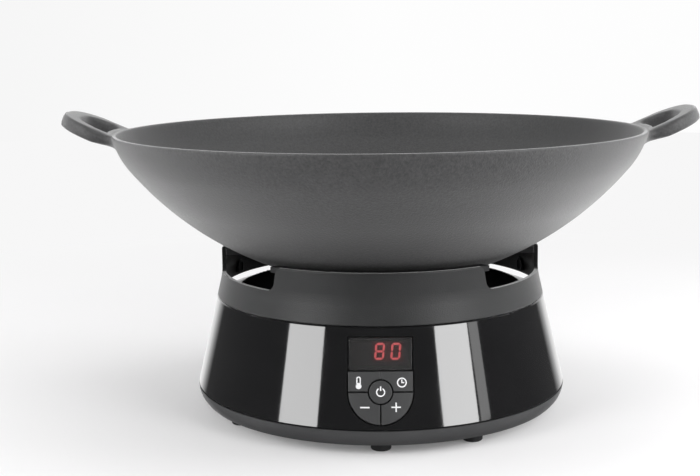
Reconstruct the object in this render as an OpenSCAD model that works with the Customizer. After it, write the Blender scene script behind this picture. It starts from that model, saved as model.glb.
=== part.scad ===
// Countertop induction cooker with a lift-off cast wok.
// Millimetres. The origin lies on the table under the middle of the housing,
// +Z is up, the control panel faces -Y and the wok's handles lie along X.
// An azimuth is counted from the front, positive towards +X.

/* [Housing] */
// Radius of the skirt at its lower edge
skirt_r = 127.2; // [122:0.1:136]
// Height of the skirt's lower edge above the table
skirt_z = 17.4; // [16:0.1:20]
// Height of the seam between the skirt and the collar
seam_z = 78.6; // [76:0.1:90]
// Lean of the housing wall from the vertical, in degrees
wall_lean = 13.5; // [11:0.5:15]
// Thickness of the skirt's wall
skirt_wall = 2.6; // [2:0.1:3.2]
// Open seam between two housing pieces
seam_gap = 0.6; // [0.3:0.1:1]
// Number of air outlet slots at the rear of the skirt
outlet_count = 9; // [5:2:11]
// Width of one air outlet slot
outlet_w = 3; // [2:0.5:4]
// Length of one air outlet slot
outlet_len = 22; // [14:1:26]
// Height of the middle of the air outlet slots
outlet_z = 54; // [50:1:58]
// Radius of the screw bosses inside the skirt
boss_r = 4.5; // [4:0.1:5.5]

/* [Base tray] */
// Thickness of the tray's floor
tray_floor = 2.5; // [2:0.1:4]
// Thickness of the tray's wall
tray_wall = 2.6; // [2:0.1:3.5]
// Reach by which the tray's wall curves in from the skirt's edge down to its floor
tray_tuck = 5; // [2:0.5:8]
// Height of the tray's locating lip inside the skirt
lip_h = 4; // [2:0.5:6]
// Thickness of the tray's locating lip
lip_t = 2.5; // [2:0.1:3]
// Number of air intake slots under the fan
intake_count = 18; // [10:2:20]

/* [Feet] */
// Height of a rubber foot below the tray
foot_h = 6.5; // [5:0.1:9]
// Radius of a rubber foot
foot_r = 6.5; // [5:0.1:8]
// Distance of a foot's middle inside the skirt's lower edge
foot_inset = 18.2; // [16:0.1:27]
// Azimuth of the first of the four main feet
foot_az = 32; // [28:1:36]

/* [Collar] */
// Height of the collar above the seam
collar_h = 31.9; // [24:0.1:36]
// Height above the seam at which the collar's leaning wall turns upright
collar_bend = 15; // [10:0.5:18]
// Thickness of the collar's wall
collar_wall = 2.5; // [2:0.1:3]
// Width of one notch in the collar
notch_w = 81; // [60:1:90]
// Depth of a notch below the collar's top
notch_depth = 15.4; // [11:0.1:17]
// Corner radius at the bottom of a notch
notch_round = 3; // [1:0.5:5]
// Spread of each side of a notch from its foot to the collar's top
notch_flare = 2.5; // [1:0.5:4]
// Angle covered by one vent at the collar's foot, in degrees
vent_angle = 56; // [30:1:60]
// Height of the vents above the ledge
vent_h = 5; // [3:0.5:6]
// Width of the ledge under the glass's edge
ledge_w = 8.8; // [6:0.1:12]
// Thickness of the ledge
ledge_t = 2.5; // [2:0.1:4]

/* [Glass plate] */
// Distance of the glass's edge inside the housing's outside at the seam
glass_inset = 15.7; // [14.5:0.1:18]
// Thickness of the glass plate
glass_t = 4; // [3:0.1:5]
// Width of the sealing ring around the glass
seal_w = 1.6; // [1:0.1:2.5]
// Rise of the sealing ring above the glass
seal_lip = 1; // [0.5:0.1:1.5]

/* [Wok pads] */
// Angle covered by one rubber pad, in degrees
pad_angle = 81; // [60:1:90]
// Height of a rubber pad
pad_h = 4; // [3:0.1:8]
// Distance of the wok's line of rest inside the outside of the collar's top
seat_inset = 8.8; // [7.5:0.1:11]
// Depth of a pad's top below the collar's top
pad_drop = 0.5; // [0:0.1:2.5]
// Width of the strip of a pad on which the wok rests
pad_reach = 4.5; // [3:0.1:6]

/* [Control panel] */
// Height of the power key's middle above the table
panel_z = 40; // [38:0.1:44]
// Half the width of the field of keys
keys_half_w = 19.7; // [17:0.1:21]
// Height of the upper keys above the power key's middle
keys_top = 12.4; // [10:0.1:14]
// Radius of the power key
power_r = 7; // [6:0.1:9.5]
// Gap between neighbouring keys, and between keys and housing
key_gap = 0.8; // [0.6:0.1:1.2]
// Thickness of a key cap
key_t = 2.4; // [2:0.1:2.8]
// Travel of a key
key_travel = 0.8; // [0.4:0.1:1]
// Width of the display window
window_w = 38.4; // [34:0.1:40]
// Height of the display window
window_h = 19.7; // [16:0.1:21]
// Thickness of the display window
window_t = 2; // [1.5:0.1:2.4]
// Height of a display digit
digit_h = 10.3; // [8:0.1:12]
// Width of a display digit
digit_w = 6; // [5:0.1:8]
// Width of a lit bar in a digit
digit_bar = 1.3; // [0.8:0.1:1.6]
// Thickness of the key frame's plate
frame_t = 2; // [1.5:0.1:2.5]
// Height of a tact switch
switch_h = 3.3; // [2.5:0.1:4]
// Thickness of the circuit boards
board_t = 1.6; // [1:0.1:2]

/* [Fan] */
// Width of the fan's square frame
fan_w = 80; // [70:1:84]
// Depth of the fan's frame
fan_d = 15; // [12:1:20]
// Distance of the fan's axis behind the middle of the housing
fan_y = 50; // [48:1:54]
// Number of blades
blade_count = 7; // [5:1:9]
// Pitch of the blades, in degrees
blade_pitch = 38; // [30:1:45]
// Radius of the rotor's hub
hub_r = 15; // [12:0.5:17]
// Radius of the fan's shaft
shaft_r = 1.5; // [1:0.1:2]

/* [Power board] */
// Width of the power board
power_w = 92; // [84:1:94]
// Depth of the power board
power_d = 80; // [76:1:82]
// Height of the power board's lower face above the tray's floor
power_lift = 12; // [8:1:16]
// Number of fins on the heat sink
fin_count = 9; // [6:1:12]
// Height of the heat sink's fins
fin_h = 16; // [10:1:18]

/* [Induction coil] */
// Inner radius of the winding
coil_r0 = 22; // [18:1:26]
// Number of turns
coil_turns = 12; // [8:1:13]
// Distance from one turn to the next
coil_pitch = 4.2; // [3.8:0.1:4.3]
// Width of the wound strand
strand_w = 3.3; // [2.5:0.1:3.4]
// Height of the wound strand
strand_h = 3.6; // [3:0.1:4]
// Radius of the coil's carrier
carrier_r = 84; // [83:1:86]
// Thickness of the coil's carrier
carrier_t = 2.5; // [2:0.1:4]
// Number of ferrite bars under the carrier
ferrite_count = 8; // [4:4:8]

/* [Wok] */
// Radius of the wok's rim
rim_r = 180; // [172:0.5:184]
// Radius of the curve of the bowl's outside
bowl_r = 216.6; // [212:0.1:222]
// Depth of the bowl's outside below the rim
bowl_depth = 104; // [98:0.5:106]
// Radius of the curve up to the rim
shoulder_r = 60; // [55:1:70]
// Thickness of the cast wall
wok_wall = 4; // [3:0.1:5]
// Length of a handle from its root to its tip
handle_len = 45; // [38:0.5:48]
// Half the width of a handle, to the middle of its side bars
handle_half_w = 27.5; // [24:0.5:34]
// Width of a handle's bar
bar_w = 12; // [9:0.1:13]
// Thickness of a handle's bar
bar_t = 8.2; // [7:0.1:10]
// Corner radius of a handle, at the middle of its bar
handle_corner = 20; // [14:0.5:21]
// Rise of a handle from the horizontal, in degrees
handle_rise = 23; // [15:1:28]

/* [Fits] */
// Clearance between two pieces of the housing that fit together
fit = 0.15; // [0.1:0.05:0.25]
// Clearance between the wok and its pads
wok_clear = 0.3; // [0.2:0.05:0.5]
// Radial clearance of the rotor on its shaft
running_fit = 0.05; // [0.02:0.01:0.1]
// Radial clearance of a screw in its hole
screw_fit = 0.1; // [0.05:0.05:0.2]

/* [Hidden] */
$fn = 96;
// Overshoot of a cutting shape past the face that it cuts
cut = 1;

// Heights that follow from the sizes above
tray_z = foot_h;
tray_top = skirt_z - seam_gap;
floor_z = tray_z + tray_floor;
collar_top = seam_z + collar_h;
bend_z = seam_z + collar_bend;
ledge_drop = 1.6;
ledge_top = seam_z - ledge_drop;
ledge_z = ledge_top - ledge_t;
glass_top = ledge_top + glass_t;

// Radius of the housing's outside at a height
function wall_r(z) = skirt_r - (z - skirt_z) * tan(wall_lean);

// Radii that follow from the housing's outside
foot_ring_r = skirt_r - foot_inset;
glass_r = wall_r(seam_z) - glass_inset;
ledge_r = glass_r - ledge_w;
collar_r = wall_r(bend_z);
seat_r = collar_r - seat_inset;

// Frames and outlines that several pieces share

// Places children at an azimuth, with local X pointing outwards
module at_az(az, r = 0, z = 0) {
    rotate([0, 0, az - 90]) translate([r, 0, z]) children();
}

// Places children on the housing's outside, with local Y up the wall and local Z outwards
module on_wall(z, az = 0) {
    rotate([0, 0, az]) translate([0, -wall_r(z), z]) rotate([90 - wall_lean, 0, 0]) children();
}

module on_panel() {
    on_wall(panel_z) children();
}

// Rectangle with round corners, centred
module round_rect(w, h, r) {
    square([w - 2 * r, h], center = true);
    square([w, h - 2 * r], center = true);
    for (sx = [-1, 1], sy = [-1, 1])
        translate([sx * (w / 2 - r), sy * (h / 2 - r)]) circle(r);
}

// Slot with round ends along X, centred
module slot(len, w) {
    square([len - w, w], center = true);
    for (s = [-1, 1])
        translate([s * (len - w) / 2, 0]) circle(w / 2);
}

// Cone inside the housing's outside, drawn in sideways by an inset
module wall_cone(z0, z1, inset) {
    rotate_extrude()
        polygon([
            [0, z0],
            [wall_r(z0) - inset, z0],
            [wall_r(z1) - inset, z1],
            [0, z1]
        ]);
}

// Screw with a flat head, its head's seat at z = 0 and its shank down -Z
module screw(len, r, head_r, head_h) {
    cylinder(h = head_h, r = head_r);
    translate([0, 0, -len]) cylinder(h = len, r = r);
}

// Housing screws, which come up through the tray into the skirt's bosses
screw_r = 1.5;
screw_head_r = 3;
screw_head_h = 1.8;
screw_len = 10;
boss_inset = 14.2;
boss_ring_r = skirt_r - boss_inset;
boss_az = [45, 135, 225, 315];
boss_h = 22;
boss_rib_t = 2;
boss_top = floor_z + boss_h;
boss_pad_h = 3.4;
head_sunk = 0.8;
boss_seat_z = tray_z + screw_head_h + head_sunk;
boss_z = floor_z + boss_pad_h;

// Base tray: a moulded pan with the feet, the fan's intake and posts for what it carries
fan_lift = 3;
fan_z = floor_z + fan_lift;
fan_hole_inset = 5;
fan_hole = fan_w / 2 - fan_hole_inset;
pilot_skin = 0.5;
power_z = floor_z + power_lift;
power_y = -47;
power_hole_inset = 4;
power_hole_x = power_w / 2 - power_hole_inset;
power_hole_y = power_d / 2 - power_hole_inset;
post_r = 3.5;
standoff_inset = 5;
standoff_ring_r = carrier_r - standoff_inset;
standoff_az = [45, 135, 225, 315];
standoff_seat_h = 4;
standoff_seat_r = 5.5;
foot_peg_r = 2.5;
foot_azs = [0, foot_az, foot_az + 90, foot_az + 180, foot_az + 270];
intake_r0 = 8;
intake_r1 = 35;
intake_w = 3;
lip_gap_half_w = 30;

// Outside of the tray: an arc from the skirt's edge in to the floor, drawn in by an inset
module tray_outside(inset, z0, z1) {
    drop = skirt_z - tray_z;
    belly_r = (drop * drop + tray_tuck * tray_tuck) / (2 * tray_tuck);
    belly_c = skirt_r - belly_r;
    rotate_extrude()
        intersection() {
            union() {
                square([belly_c, skirt_z + belly_r]);
                translate([belly_c, skirt_z]) circle(belly_r - inset);
            }
            translate([0, z0]) square([skirt_r, z1 - z0]);
        }
}

module tray_lip() {
    lip_root = 3;
    z0 = tray_top - lip_root;
    z1 = skirt_z + lip_h;
    inset = skirt_wall + fit;
    difference() {
        rotate_extrude()
            polygon([
                [wall_r(z0) - inset - lip_t, z0],
                [wall_r(z0) - inset, z0],
                [wall_r(z1) - inset, z1],
                [wall_r(z1) - inset - lip_t, z1]
            ]);
        // Room for the key frame
        translate([-lip_gap_half_w, -skirt_r - cut, z0 - cut])
            cube([2 * lip_gap_half_w, skirt_r, z1 - z0 + 2 * cut]);
        // Room for the screw bosses of the skirt
        for (az = boss_az)
            at_az(az, boss_ring_r, tray_top)
                translate([0, -boss_r - cut, 0])
                    cube([skirt_r - boss_ring_r + cut, 2 * (boss_r + cut), lip_h + seam_gap + cut]);
    }
}

// Post that grows out of the tray's floor
module tray_post(h, r) {
    translate([0, 0, floor_z - tray_floor / 2]) cylinder(h = h + tray_floor / 2, r = r);
}

module base_tray() {
    color("#46474a")
    difference() {
        union() {
            difference() {
                tray_outside(0, tray_z, tray_top);
                tray_outside(tray_wall, floor_z, tray_top + cut);
            }
            tray_lip();
            for (az = boss_az)
                at_az(az, boss_ring_r) tray_post(boss_pad_h, boss_r);
            for (sx = [-1, 1], sy = [-1, 1]) {
                translate([sx * fan_hole, fan_y + sy * fan_hole]) tray_post(fan_lift, post_r);
                translate([sx * power_hole_x, power_y + sy * power_hole_y]) tray_post(power_lift, post_r);
            }
            for (az = standoff_az)
                at_az(az, standoff_ring_r) tray_post(standoff_seat_h, standoff_seat_r);
        }
        for (az = foot_azs)
            at_az(az, foot_ring_r, tray_z - cut) cylinder(h = tray_floor + 2 * cut, r = foot_peg_r + fit);
        for (az = boss_az)
            at_az(az, boss_ring_r, tray_z - cut) {
                cylinder(h = boss_z - tray_z + 2 * cut, r = screw_r + screw_fit);
                cylinder(h = boss_seat_z - tray_z + cut, r = screw_head_r + screw_fit);
            }
        for (i = [0 : intake_count - 1])
            translate([0, fan_y, tray_z - cut]) rotate([0, 0, 360 * (i + 0.5) / intake_count])
                translate([(intake_r0 + intake_r1) / 2 + intake_w, 0, 0])
                    linear_extrude(tray_floor + 2 * cut) slot(intake_r1 - intake_r0 - 2 * intake_w, intake_w);
        for (sx = [-1, 1], sy = [-1, 1]) {
            translate([sx * fan_hole, fan_y + sy * fan_hole, floor_z + pilot_skin])
                cylinder(h = fan_lift + cut, r = small_screw_r + screw_fit);
            translate([sx * power_hole_x, power_y + sy * power_hole_y, power_z - small_screw_len])
                cylinder(h = small_screw_len + cut, r = small_screw_r + screw_fit);
        }
    }
}

// Rubber feet, each with a peg that plugs into the tray's floor
foot_round = 1;

module feet() {
    color("#2b2c2d")
    for (az = foot_azs)
        at_az(az, foot_ring_r)
            rotate_extrude() {
                square([foot_r - foot_round, foot_h]);
                translate([0, foot_round]) square([foot_r, foot_h - foot_round]);
                translate([foot_r - foot_round, foot_round]) circle(foot_round, $fn = 48);
                translate([0, foot_h]) square([foot_peg_r, tray_floor]);
            }
}

// Skirt: the glossy conical housing, with the panel's opening, air outlets and cord inlet
window_v0 = keys_top + key_gap;
window_v = window_v0 + window_h / 2;
frame_front = 5.4;
frame_half_w = 24;
frame_foot = 3;
frame_head = 3.4;
frame_v0 = -keys_half_w - frame_foot;
frame_v1 = window_v0 + window_h + frame_head;
frame_round = 3;
frame_post_gap = 2;
frame_post_x = keys_half_w + key_gap + frame_post_gap;
frame_post_r = 1.7;
frame_post_vs = [-6, 8, window_v + 5];
outlet_step = 6;
panel_cut_depth = 3 * frame_front;
inlet_z = 33;
inlet_r = 5.5;

// Outline of the opening in the skirt, in the panel's own plane
module panel_outline(gap) {
    half_w = keys_half_w + gap;
    translate([-half_w, 0]) square([2 * half_w, keys_top + gap]);
    circle(half_w);
    translate([-window_w / 2 - gap, keys_top])
        square([window_w + 2 * gap, window_v0 + window_h + gap - keys_top]);
}

// Depth of the housing's outside behind the panel's plane, at a sideways place
function panel_sag(x) = wall_r(panel_z) - sqrt(wall_r(panel_z) * wall_r(panel_z) - x * x);

// Side vents, cut outwards from just behind the glass's seal
vent_azs = [120, 240];
vent_rim = 4;
vent_r = glass_r + seal_w + vent_rim;
vent_drop = 0.4;

module collar_vent_cut(z0, z1) {
    for (az = vent_azs)
        rotate([0, 0, az - 90 - vent_angle / 2]) translate([0, 0, z0])
            rotate_extrude(angle = vent_angle)
                translate([vent_r, 0]) square([skirt_r - vent_r, z1 - z0]);
}

// Conical wall of the skirt, with its outer edges eased
skirt_edge = 0.6;
skirt_top = seam_z - seam_gap;

module skirt_ring() {
    rotate_extrude()
        polygon([
            [wall_r(skirt_z) - skirt_wall, skirt_z],
            [wall_r(skirt_z) - skirt_edge, skirt_z],
            [wall_r(skirt_z + skirt_edge), skirt_z + skirt_edge],
            [wall_r(skirt_top - skirt_edge), skirt_top - skirt_edge],
            [wall_r(skirt_top) - skirt_edge, skirt_top],
            [wall_r(skirt_top) - skirt_wall, skirt_top]
        ]);
}

module skirt_shell() {
    color("#161617")
    difference() {
        union() {
            skirt_ring();
            for (az = boss_az)
                at_az(az, boss_ring_r, boss_z) {
                    cylinder(h = boss_top - boss_z, r = boss_r);
                    translate([0, -boss_rib_t / 2, skirt_z - boss_z])
                        cube([wall_r(boss_top) - skirt_wall / 2 - boss_ring_r, boss_rib_t, boss_top - skirt_z]);
                }
            on_panel()
                for (sx = [-1, 1], v = frame_post_vs)
                    translate([sx * frame_post_x, v, -frame_front])
                        cylinder(h = frame_front - panel_sag(frame_post_x) - skirt_wall / 2, r = frame_post_r);
        }
        on_panel()
            translate([0, 0, -panel_cut_depth]) linear_extrude(2 * panel_cut_depth) panel_outline(key_gap);
        for (i = [0 : outlet_count - 1])
            on_wall(outlet_z, 180 + (i - (outlet_count - 1) / 2) * outlet_step)
                translate([0, 0, -4 * skirt_wall]) rotate([0, 0, 90])
                    linear_extrude(6 * skirt_wall) slot(outlet_len, outlet_w);
        on_wall(inlet_z, 180)
            translate([0, 0, -4 * skirt_wall]) cylinder(h = 6 * skirt_wall, r = inlet_r + fit);
        for (az = boss_az)
            at_az(az, boss_ring_r, boss_z - cut)
                cylinder(h = screw_len + cut, r = screw_r + screw_fit);
        on_panel()
            for (sx = [-1, 1], v = frame_post_vs)
                translate([sx * frame_post_x, v, -frame_front - cut])
                    cylinder(h = frame_screw_len - frame_t + cut, r = small_screw_r / 2 + screw_fit);
        collar_vent_cut(ledge_top - vent_drop, seam_z + cut);
    }
}

module housing_screws() {
    color("silver")
    for (az = boss_az)
        at_az(az, boss_ring_r, boss_seat_z)
            mirror([0, 0, 1])
                screw(screw_len - boss_pad_h + boss_z - boss_seat_z, screw_r, screw_head_r, screw_head_h);
}

// Gland that lines the cord's inlet, clamped to both faces of the wall by its flanges
gland_bore_r = 3.4;
gland_flange_r = 8;
gland_flange_t = 2;
gland_spare = 0.5;
gland_clear = 0.1;

module cord_gland() {
    // Thickness of the leaning wall along its own normal, with room for its curve
    grip = skirt_wall * cos(wall_lean) + gland_spare;
    color("#2b2c2d")
    on_wall(inlet_z, 180)
        difference() {
            translate([0, 0, -grip - gland_flange_t]) {
                cylinder(h = gland_flange_t, r = gland_flange_r);
                cylinder(h = grip + 2 * gland_flange_t, r = inlet_r);
                translate([0, 0, grip + gland_flange_t + gland_clear])
                    cylinder(h = gland_flange_t - gland_clear, r = gland_flange_r);
            }
            translate([0, 0, -grip - gland_flange_t - cut])
                cylinder(h = grip + 2 * (gland_flange_t + cut), r = gland_bore_r);
        }
}

// Collar: the matte upper ring, with a ledge for the glass, three notches and side vents
spigot_inset = skirt_wall + fit;
spigot_t = 2.2;
spigot_r = wall_r(seam_z) - spigot_inset - spigot_t;
collar_edge = 0.8;
notch_azs = [60, 180, 300];
notch_ease = 2;
shoulder_rise = 3;
stud_rise = 9.9;
stud_z = seam_z + stud_rise;
stud_r = 5;
stud_h = 2;
stud_az = [76, 108, 252, 284];

// Outline of one notch, with y = 0 at the collar's top: round at its foot, flared, and eased at the top
module notch_outline() {
    foot = notch_w / 2;
    head = foot + notch_flare;
    round_rect(notch_w, 2 * notch_depth, notch_round);
    polygon([
        [-foot + cut, notch_round - notch_depth],
        [foot - cut, notch_round - notch_depth],
        [head, cut],
        [-head, cut]
    ]);
    polygon([
        [-head + 2 * cut, -notch_ease - 2 * cut],
        [head - 2 * cut, -notch_ease - 2 * cut],
        [head + notch_ease + cut, cut],
        [-head - notch_ease - cut, cut]
    ]);
}

module collar_ring() {
    shoulder_z = seam_z + shoulder_rise;
    rotate_extrude()
        polygon([
            [ledge_r, ledge_z],
            [wall_r(ledge_z) - spigot_inset, ledge_z],
            [wall_r(seam_z) - spigot_inset, seam_z],
            [wall_r(seam_z), seam_z],
            [collar_r, bend_z],
            [collar_r, collar_top - collar_edge],
            [collar_r - collar_edge, collar_top],
            [collar_r - collar_wall, collar_top],
            [collar_r - collar_wall, bend_z],
            [wall_r(shoulder_z) - collar_wall, shoulder_z],
            [spigot_r, seam_z],
            [spigot_r, ledge_top],
            [ledge_r, ledge_top]
        ]);
}

module collar() {
    color("#4d4e50")
    difference() {
        union() {
            collar_ring();
            // Round studs on the inner wall, which stop a pan from sliding sideways
            for (az = stud_az)
                intersection() {
                    at_az(az, wall_r(stud_z) - collar_wall - stud_h, stud_z)
                        rotate([0, 90, 0]) cylinder(h = stud_h + collar_wall, r = stud_r);
                    wall_cone(stud_z - 2 * stud_r, stud_z + 2 * stud_r, collar_wall / 2);
                }
        }
        for (az = notch_azs)
            at_az(az, 0, collar_top)
                rotate([90, 0, 90]) linear_extrude(skirt_r) notch_outline();
        collar_vent_cut(ledge_top, ledge_top + vent_h);
    }
}

module glass_plate() {
    edge = 0.5;
    color("#0c0c0e")
    rotate_extrude()
        polygon([
            [0, ledge_top],
            [glass_r - edge, ledge_top],
            [glass_r, ledge_top + edge],
            [glass_r, glass_top - edge],
            [glass_r - edge, glass_top],
            [0, glass_top]
        ]);
}

// Silicone ring that seals the glass's edge to the ledge
module glass_seal() {
    r0 = glass_r + fit;
    color("#2b2c2d")
    rotate_extrude() {
        translate([r0, ledge_top]) square([seal_w, glass_t + seal_lip - seal_w / 2]);
        translate([r0 + seal_w / 2, glass_top + seal_lip - seal_w / 2]) circle(seal_w / 2, $fn = 48);
    }
}

// Rubber pads inside the raised parts of the collar, hollowed to the wok's outside
wok_z = collar_top + sqrt(bowl_r * bowl_r - seat_r * seat_r);
pad_azs = [0, 120, 240];
pad_top = collar_top - pad_drop;
pad_r = sqrt(bowl_r * bowl_r - (wok_z - pad_top) * (wok_z - pad_top)) - pad_reach;

module wok_pads() {
    z0 = pad_top - pad_h;
    back_r = collar_r - collar_wall - fit;
    color("#232425")
    for (az = pad_azs)
        rotate([0, 0, az - 90 - pad_angle / 2])
            rotate_extrude(angle = pad_angle)
                difference() {
                    polygon([
                        [pad_r, z0],
                        [back_r, z0],
                        [back_r, pad_top],
                        [pad_r, pad_top]
                    ]);
                    translate([0, wok_z]) circle(bowl_r + wok_clear, $fn = 360);
                }
}

// Key frame: the plate behind the keys, which carries the window, the keys' stems and the board
small_screw_r = 1.2;
small_screw_head_r = 2.2;
small_screw_head_h = 1.3;
small_screw_len = 5;
stem_r = 2;
stem_clear = 0.4;
temperature_at = [-14, 5.6];
timer_at = [13, 5.8];
minus_at = [-10, -9.4];
plus_at = [9.6, -9.4];
key_places = [temperature_at, timer_at, [0, 0], minus_at, plus_at];
module_w = 35;
module_h = 15;
module_front = 4.6;
frame_back = frame_front + frame_t;
plunger_back = 0.3;
press_clear = 0.3;
board_front = frame_back + plunger_back + switch_h;
board_back = board_front + board_t;
frame_screw_len = 3.4;
frame_screw_head_r = 1.4;
frame_screw_head_h = 0.8;
board_hole_inset = 3;
board_hole_x = frame_half_w - board_hole_inset;
board_hole_vs = [-15, frame_v1 - board_hole_inset];
board_post_r = 2.4;
board_trim = 2;
board_round = 2;
screw_spare = 0.4;
window_round = 0.8;
seat_wall = 1.2;

module key_frame() {
    color("#1d1e1f")
    difference() {
        union() {
            on_panel() {
                translate([0, (frame_v0 + frame_v1) / 2, -frame_back])
                    linear_extrude(frame_t)
                        round_rect(2 * frame_half_w, frame_v1 - frame_v0, frame_round);
                for (sx = [-1, 1], v = board_hole_vs)
                    translate([sx * board_hole_x, v, -board_front])
                        cylinder(h = board_front - frame_front, r = board_post_r);
            }
            // Walls that hold the window from behind
            intersection() {
                on_panel()
                    translate([0, window_v, -frame_back])
                        linear_extrude(frame_back)
                            difference() {
                                square([window_w - fit, window_h - fit], center = true);
                                square(
                                    [module_w + 2 * stem_clear, window_h - fit - 2 * seat_wall],
                                    center = true
                                );
                            }
                wall_cone(skirt_z, seam_z, window_t);
            }
        }
        on_panel() {
            for (p = key_places)
                translate([p[0], p[1], -frame_back - cut])
                    cylinder(h = frame_t + 2 * cut, r = stem_r + stem_clear);
            translate([-module_w / 2 - stem_clear, window_v - module_h / 2 - stem_clear, -frame_back - cut])
                cube([module_w + 2 * stem_clear, module_h + 2 * stem_clear, frame_t + 2 * cut]);
            for (sx = [-1, 1], v = frame_post_vs)
                translate([sx * frame_post_x, v, -frame_back - cut])
                    cylinder(h = frame_t + 2 * cut, r = small_screw_r / 2 + screw_fit);
            for (sx = [-1, 1], v = board_hole_vs)
                translate([sx * board_hole_x, v, -board_front - cut])
                    cylinder(h = small_screw_len - board_t + cut, r = small_screw_r + screw_fit);
        }
    }
}

module frame_screws() {
    color("silver")
    on_panel()
        for (sx = [-1, 1], v = frame_post_vs)
            translate([sx * frame_post_x, v, -frame_back])
                mirror([0, 0, 1])
                    screw(frame_screw_len, small_screw_r / 2, frame_screw_head_r, frame_screw_head_h);
}

// Skin of the housing's wall within an outline drawn in the panel's plane
module panel_skin(depth) {
    intersection() {
        difference() {
            wall_cone(skirt_z, seam_z, 0);
            wall_cone(skirt_z - cut, seam_z + cut, depth);
        }
        on_panel() translate([0, 0, -panel_cut_depth]) linear_extrude(2 * panel_cut_depth) children();
    }
}

module display_window() {
    color("#241818")
    panel_skin(window_t) translate([0, window_v]) round_rect(window_w, window_h, window_round);
}

// A key: a cap in the skirt's own curve on a stem that reaches through the frame to its switch
module key(place) {
    stem_end = frame_back + plunger_back - press_clear - key_travel;
    stem_top = panel_sag(abs(place[0]) + stem_r) + key_t / 2;
    color("#3a3b3d") {
        panel_skin(key_t) children();
        on_panel()
            translate([place[0], place[1], -stem_end]) cylinder(h = stem_end - stem_top, r = stem_r);
    }
}

// Outline of an upper key, side -1 for the left one and 1 for the right one
module upper_key_outline(side) {
    difference() {
        mirror([side < 0 ? 1 : 0, 0])
            translate([key_gap / 2, key_gap / 2]) square([keys_half_w - key_gap / 2, keys_top - key_gap / 2]);
        circle(power_r + key_gap);
    }
}

// Outline of a lower key, a quarter of a round field
module lower_key_outline(side) {
    difference() {
        intersection() {
            circle(keys_half_w);
            mirror([side < 0 ? 1 : 0, 0])
                translate([key_gap / 2, -keys_half_w - cut])
                    square([keys_half_w, keys_half_w + cut - key_gap / 2]);
        }
        circle(power_r + key_gap);
    }
}

module key_temperature() {
    key(temperature_at) upper_key_outline(-1);
}

module key_timer() {
    key(timer_at) upper_key_outline(1);
}

module key_power() {
    key([0, 0]) circle(power_r);
}

module key_minus() {
    key(minus_at) lower_key_outline(-1);
}

module key_plus() {
    key(plus_at) lower_key_outline(1);
}

// Control board with its switches and the display
module control_board() {
    color("#1f5a35")
    on_panel()
        difference() {
            translate([0, (frame_v0 + frame_v1) / 2, -board_back])
                linear_extrude(board_t)
                    round_rect(2 * frame_half_w, frame_v1 - frame_v0 - board_trim, board_round);
            for (sx = [-1, 1], v = board_hole_vs)
                translate([sx * board_hole_x, v, -board_back - cut])
                    cylinder(h = board_t + 2 * cut, r = small_screw_r + screw_fit);
        }
}

module board_screws() {
    color("silver")
    on_panel()
        for (sx = [-1, 1], v = board_hole_vs)
            translate([sx * board_hole_x, v, -board_back])
                mirror([0, 0, 1])
                    screw(
                        small_screw_len - screw_spare,
                        small_screw_r, small_screw_head_r, small_screw_head_h
                    );
}

module tact_switches() {
    plunger_h = 0.3;
    plunger_r = 1.7;
    body_w = 6;
    color("#303132")
    on_panel()
        for (p = key_places)
            translate([p[0], p[1], -board_front]) {
                translate([-body_w / 2, -body_w / 2, 0]) cube([body_w, body_w, switch_h - plunger_h]);
                cylinder(h = switch_h, r = plunger_r);
            }
}

module display_module() {
    color("#26201f")
    on_panel()
        translate([0, window_v, -board_front])
            linear_extrude(board_front - module_front) square([module_w, module_h], center = true);
}

// Seven-segment digits: each lit bar is a six-sided lozenge
digit_depth = 0.3;
digit_pitch = 9.8;
digits_right = 12.4;
digit_raise = 1.5;
digit_slant = 5.4;
bar_gap = 0.3;
digit_bars = [[1, 1, 1, 1, 1, 1, 1], [1, 1, 0, 1, 1, 1, 1]];

// A lit bar of a length at a place in its digit, upright or lying, with the digit's slant
module lit_bar(len, place, upright) {
    half = (len - bar_gap) / 2;
    w = digit_bar / 2;
    lozenge = [[-half, 0], [-half + w, w], [half - w, w], [half, 0], [half - w, -w], [-half + w, -w]];
    polygon([for (p = lozenge)
        let (q = place + (upright ? [-p[1], p[0]] : p))
        [q[0] + q[1] * tan(digit_slant), q[1]]]);
}

// One digit: its lying bars from top, bottom and middle, then its upright ones clockwise from the upper right
module digit(bars) {
    w = digit_w - digit_bar;
    h = (digit_h - digit_bar) / 2;
    lying = [[0, h], [0, -h], [0, 0]];
    upright = [[w, h] / 2, [w, -h] / 2, [-w, -h] / 2, [-w, h] / 2];
    for (i = [0 : 2])
        if (bars[i] == 1)
            lit_bar(w, lying[i], false);
    for (i = [0 : 3])
        if (bars[3 + i] == 1)
            lit_bar(h, upright[i], true);
}

module display_digits() {
    color("#d85a5a")
    on_panel()
        for (i = [0 : len(digit_bars) - 1])
            translate([
                digits_right - digit_w / 2 - (len(digit_bars) - 1 - i) * digit_pitch,
                window_v + digit_raise,
                -module_front
            ])
                linear_extrude(digit_depth) digit(digit_bars[i]);
}

// Axial fan on the tray: a square frame with a stator hub and shaft, and a bladed rotor
duct_wall = 2.5;
duct_r = fan_w / 2 - duct_wall;
fan_round = 4;
stator_h = 4;
stator_inset = 1;
blade_gap = 1.2;
blade_t = 1.2;
blade_root = 3;
strut_w = 3;
strut_t = 2;
strut_root = 1;
rotor_clear = 0.6;
rotor_z = fan_z + stator_h + rotor_clear;
rotor_top = fan_z + fan_d - rotor_clear;
rotor_cap = 1.5;
shaft_top = rotor_top - rotor_cap;
shaft_end_clear = 0.3;
fan_screw_spare = 0.8;

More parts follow.
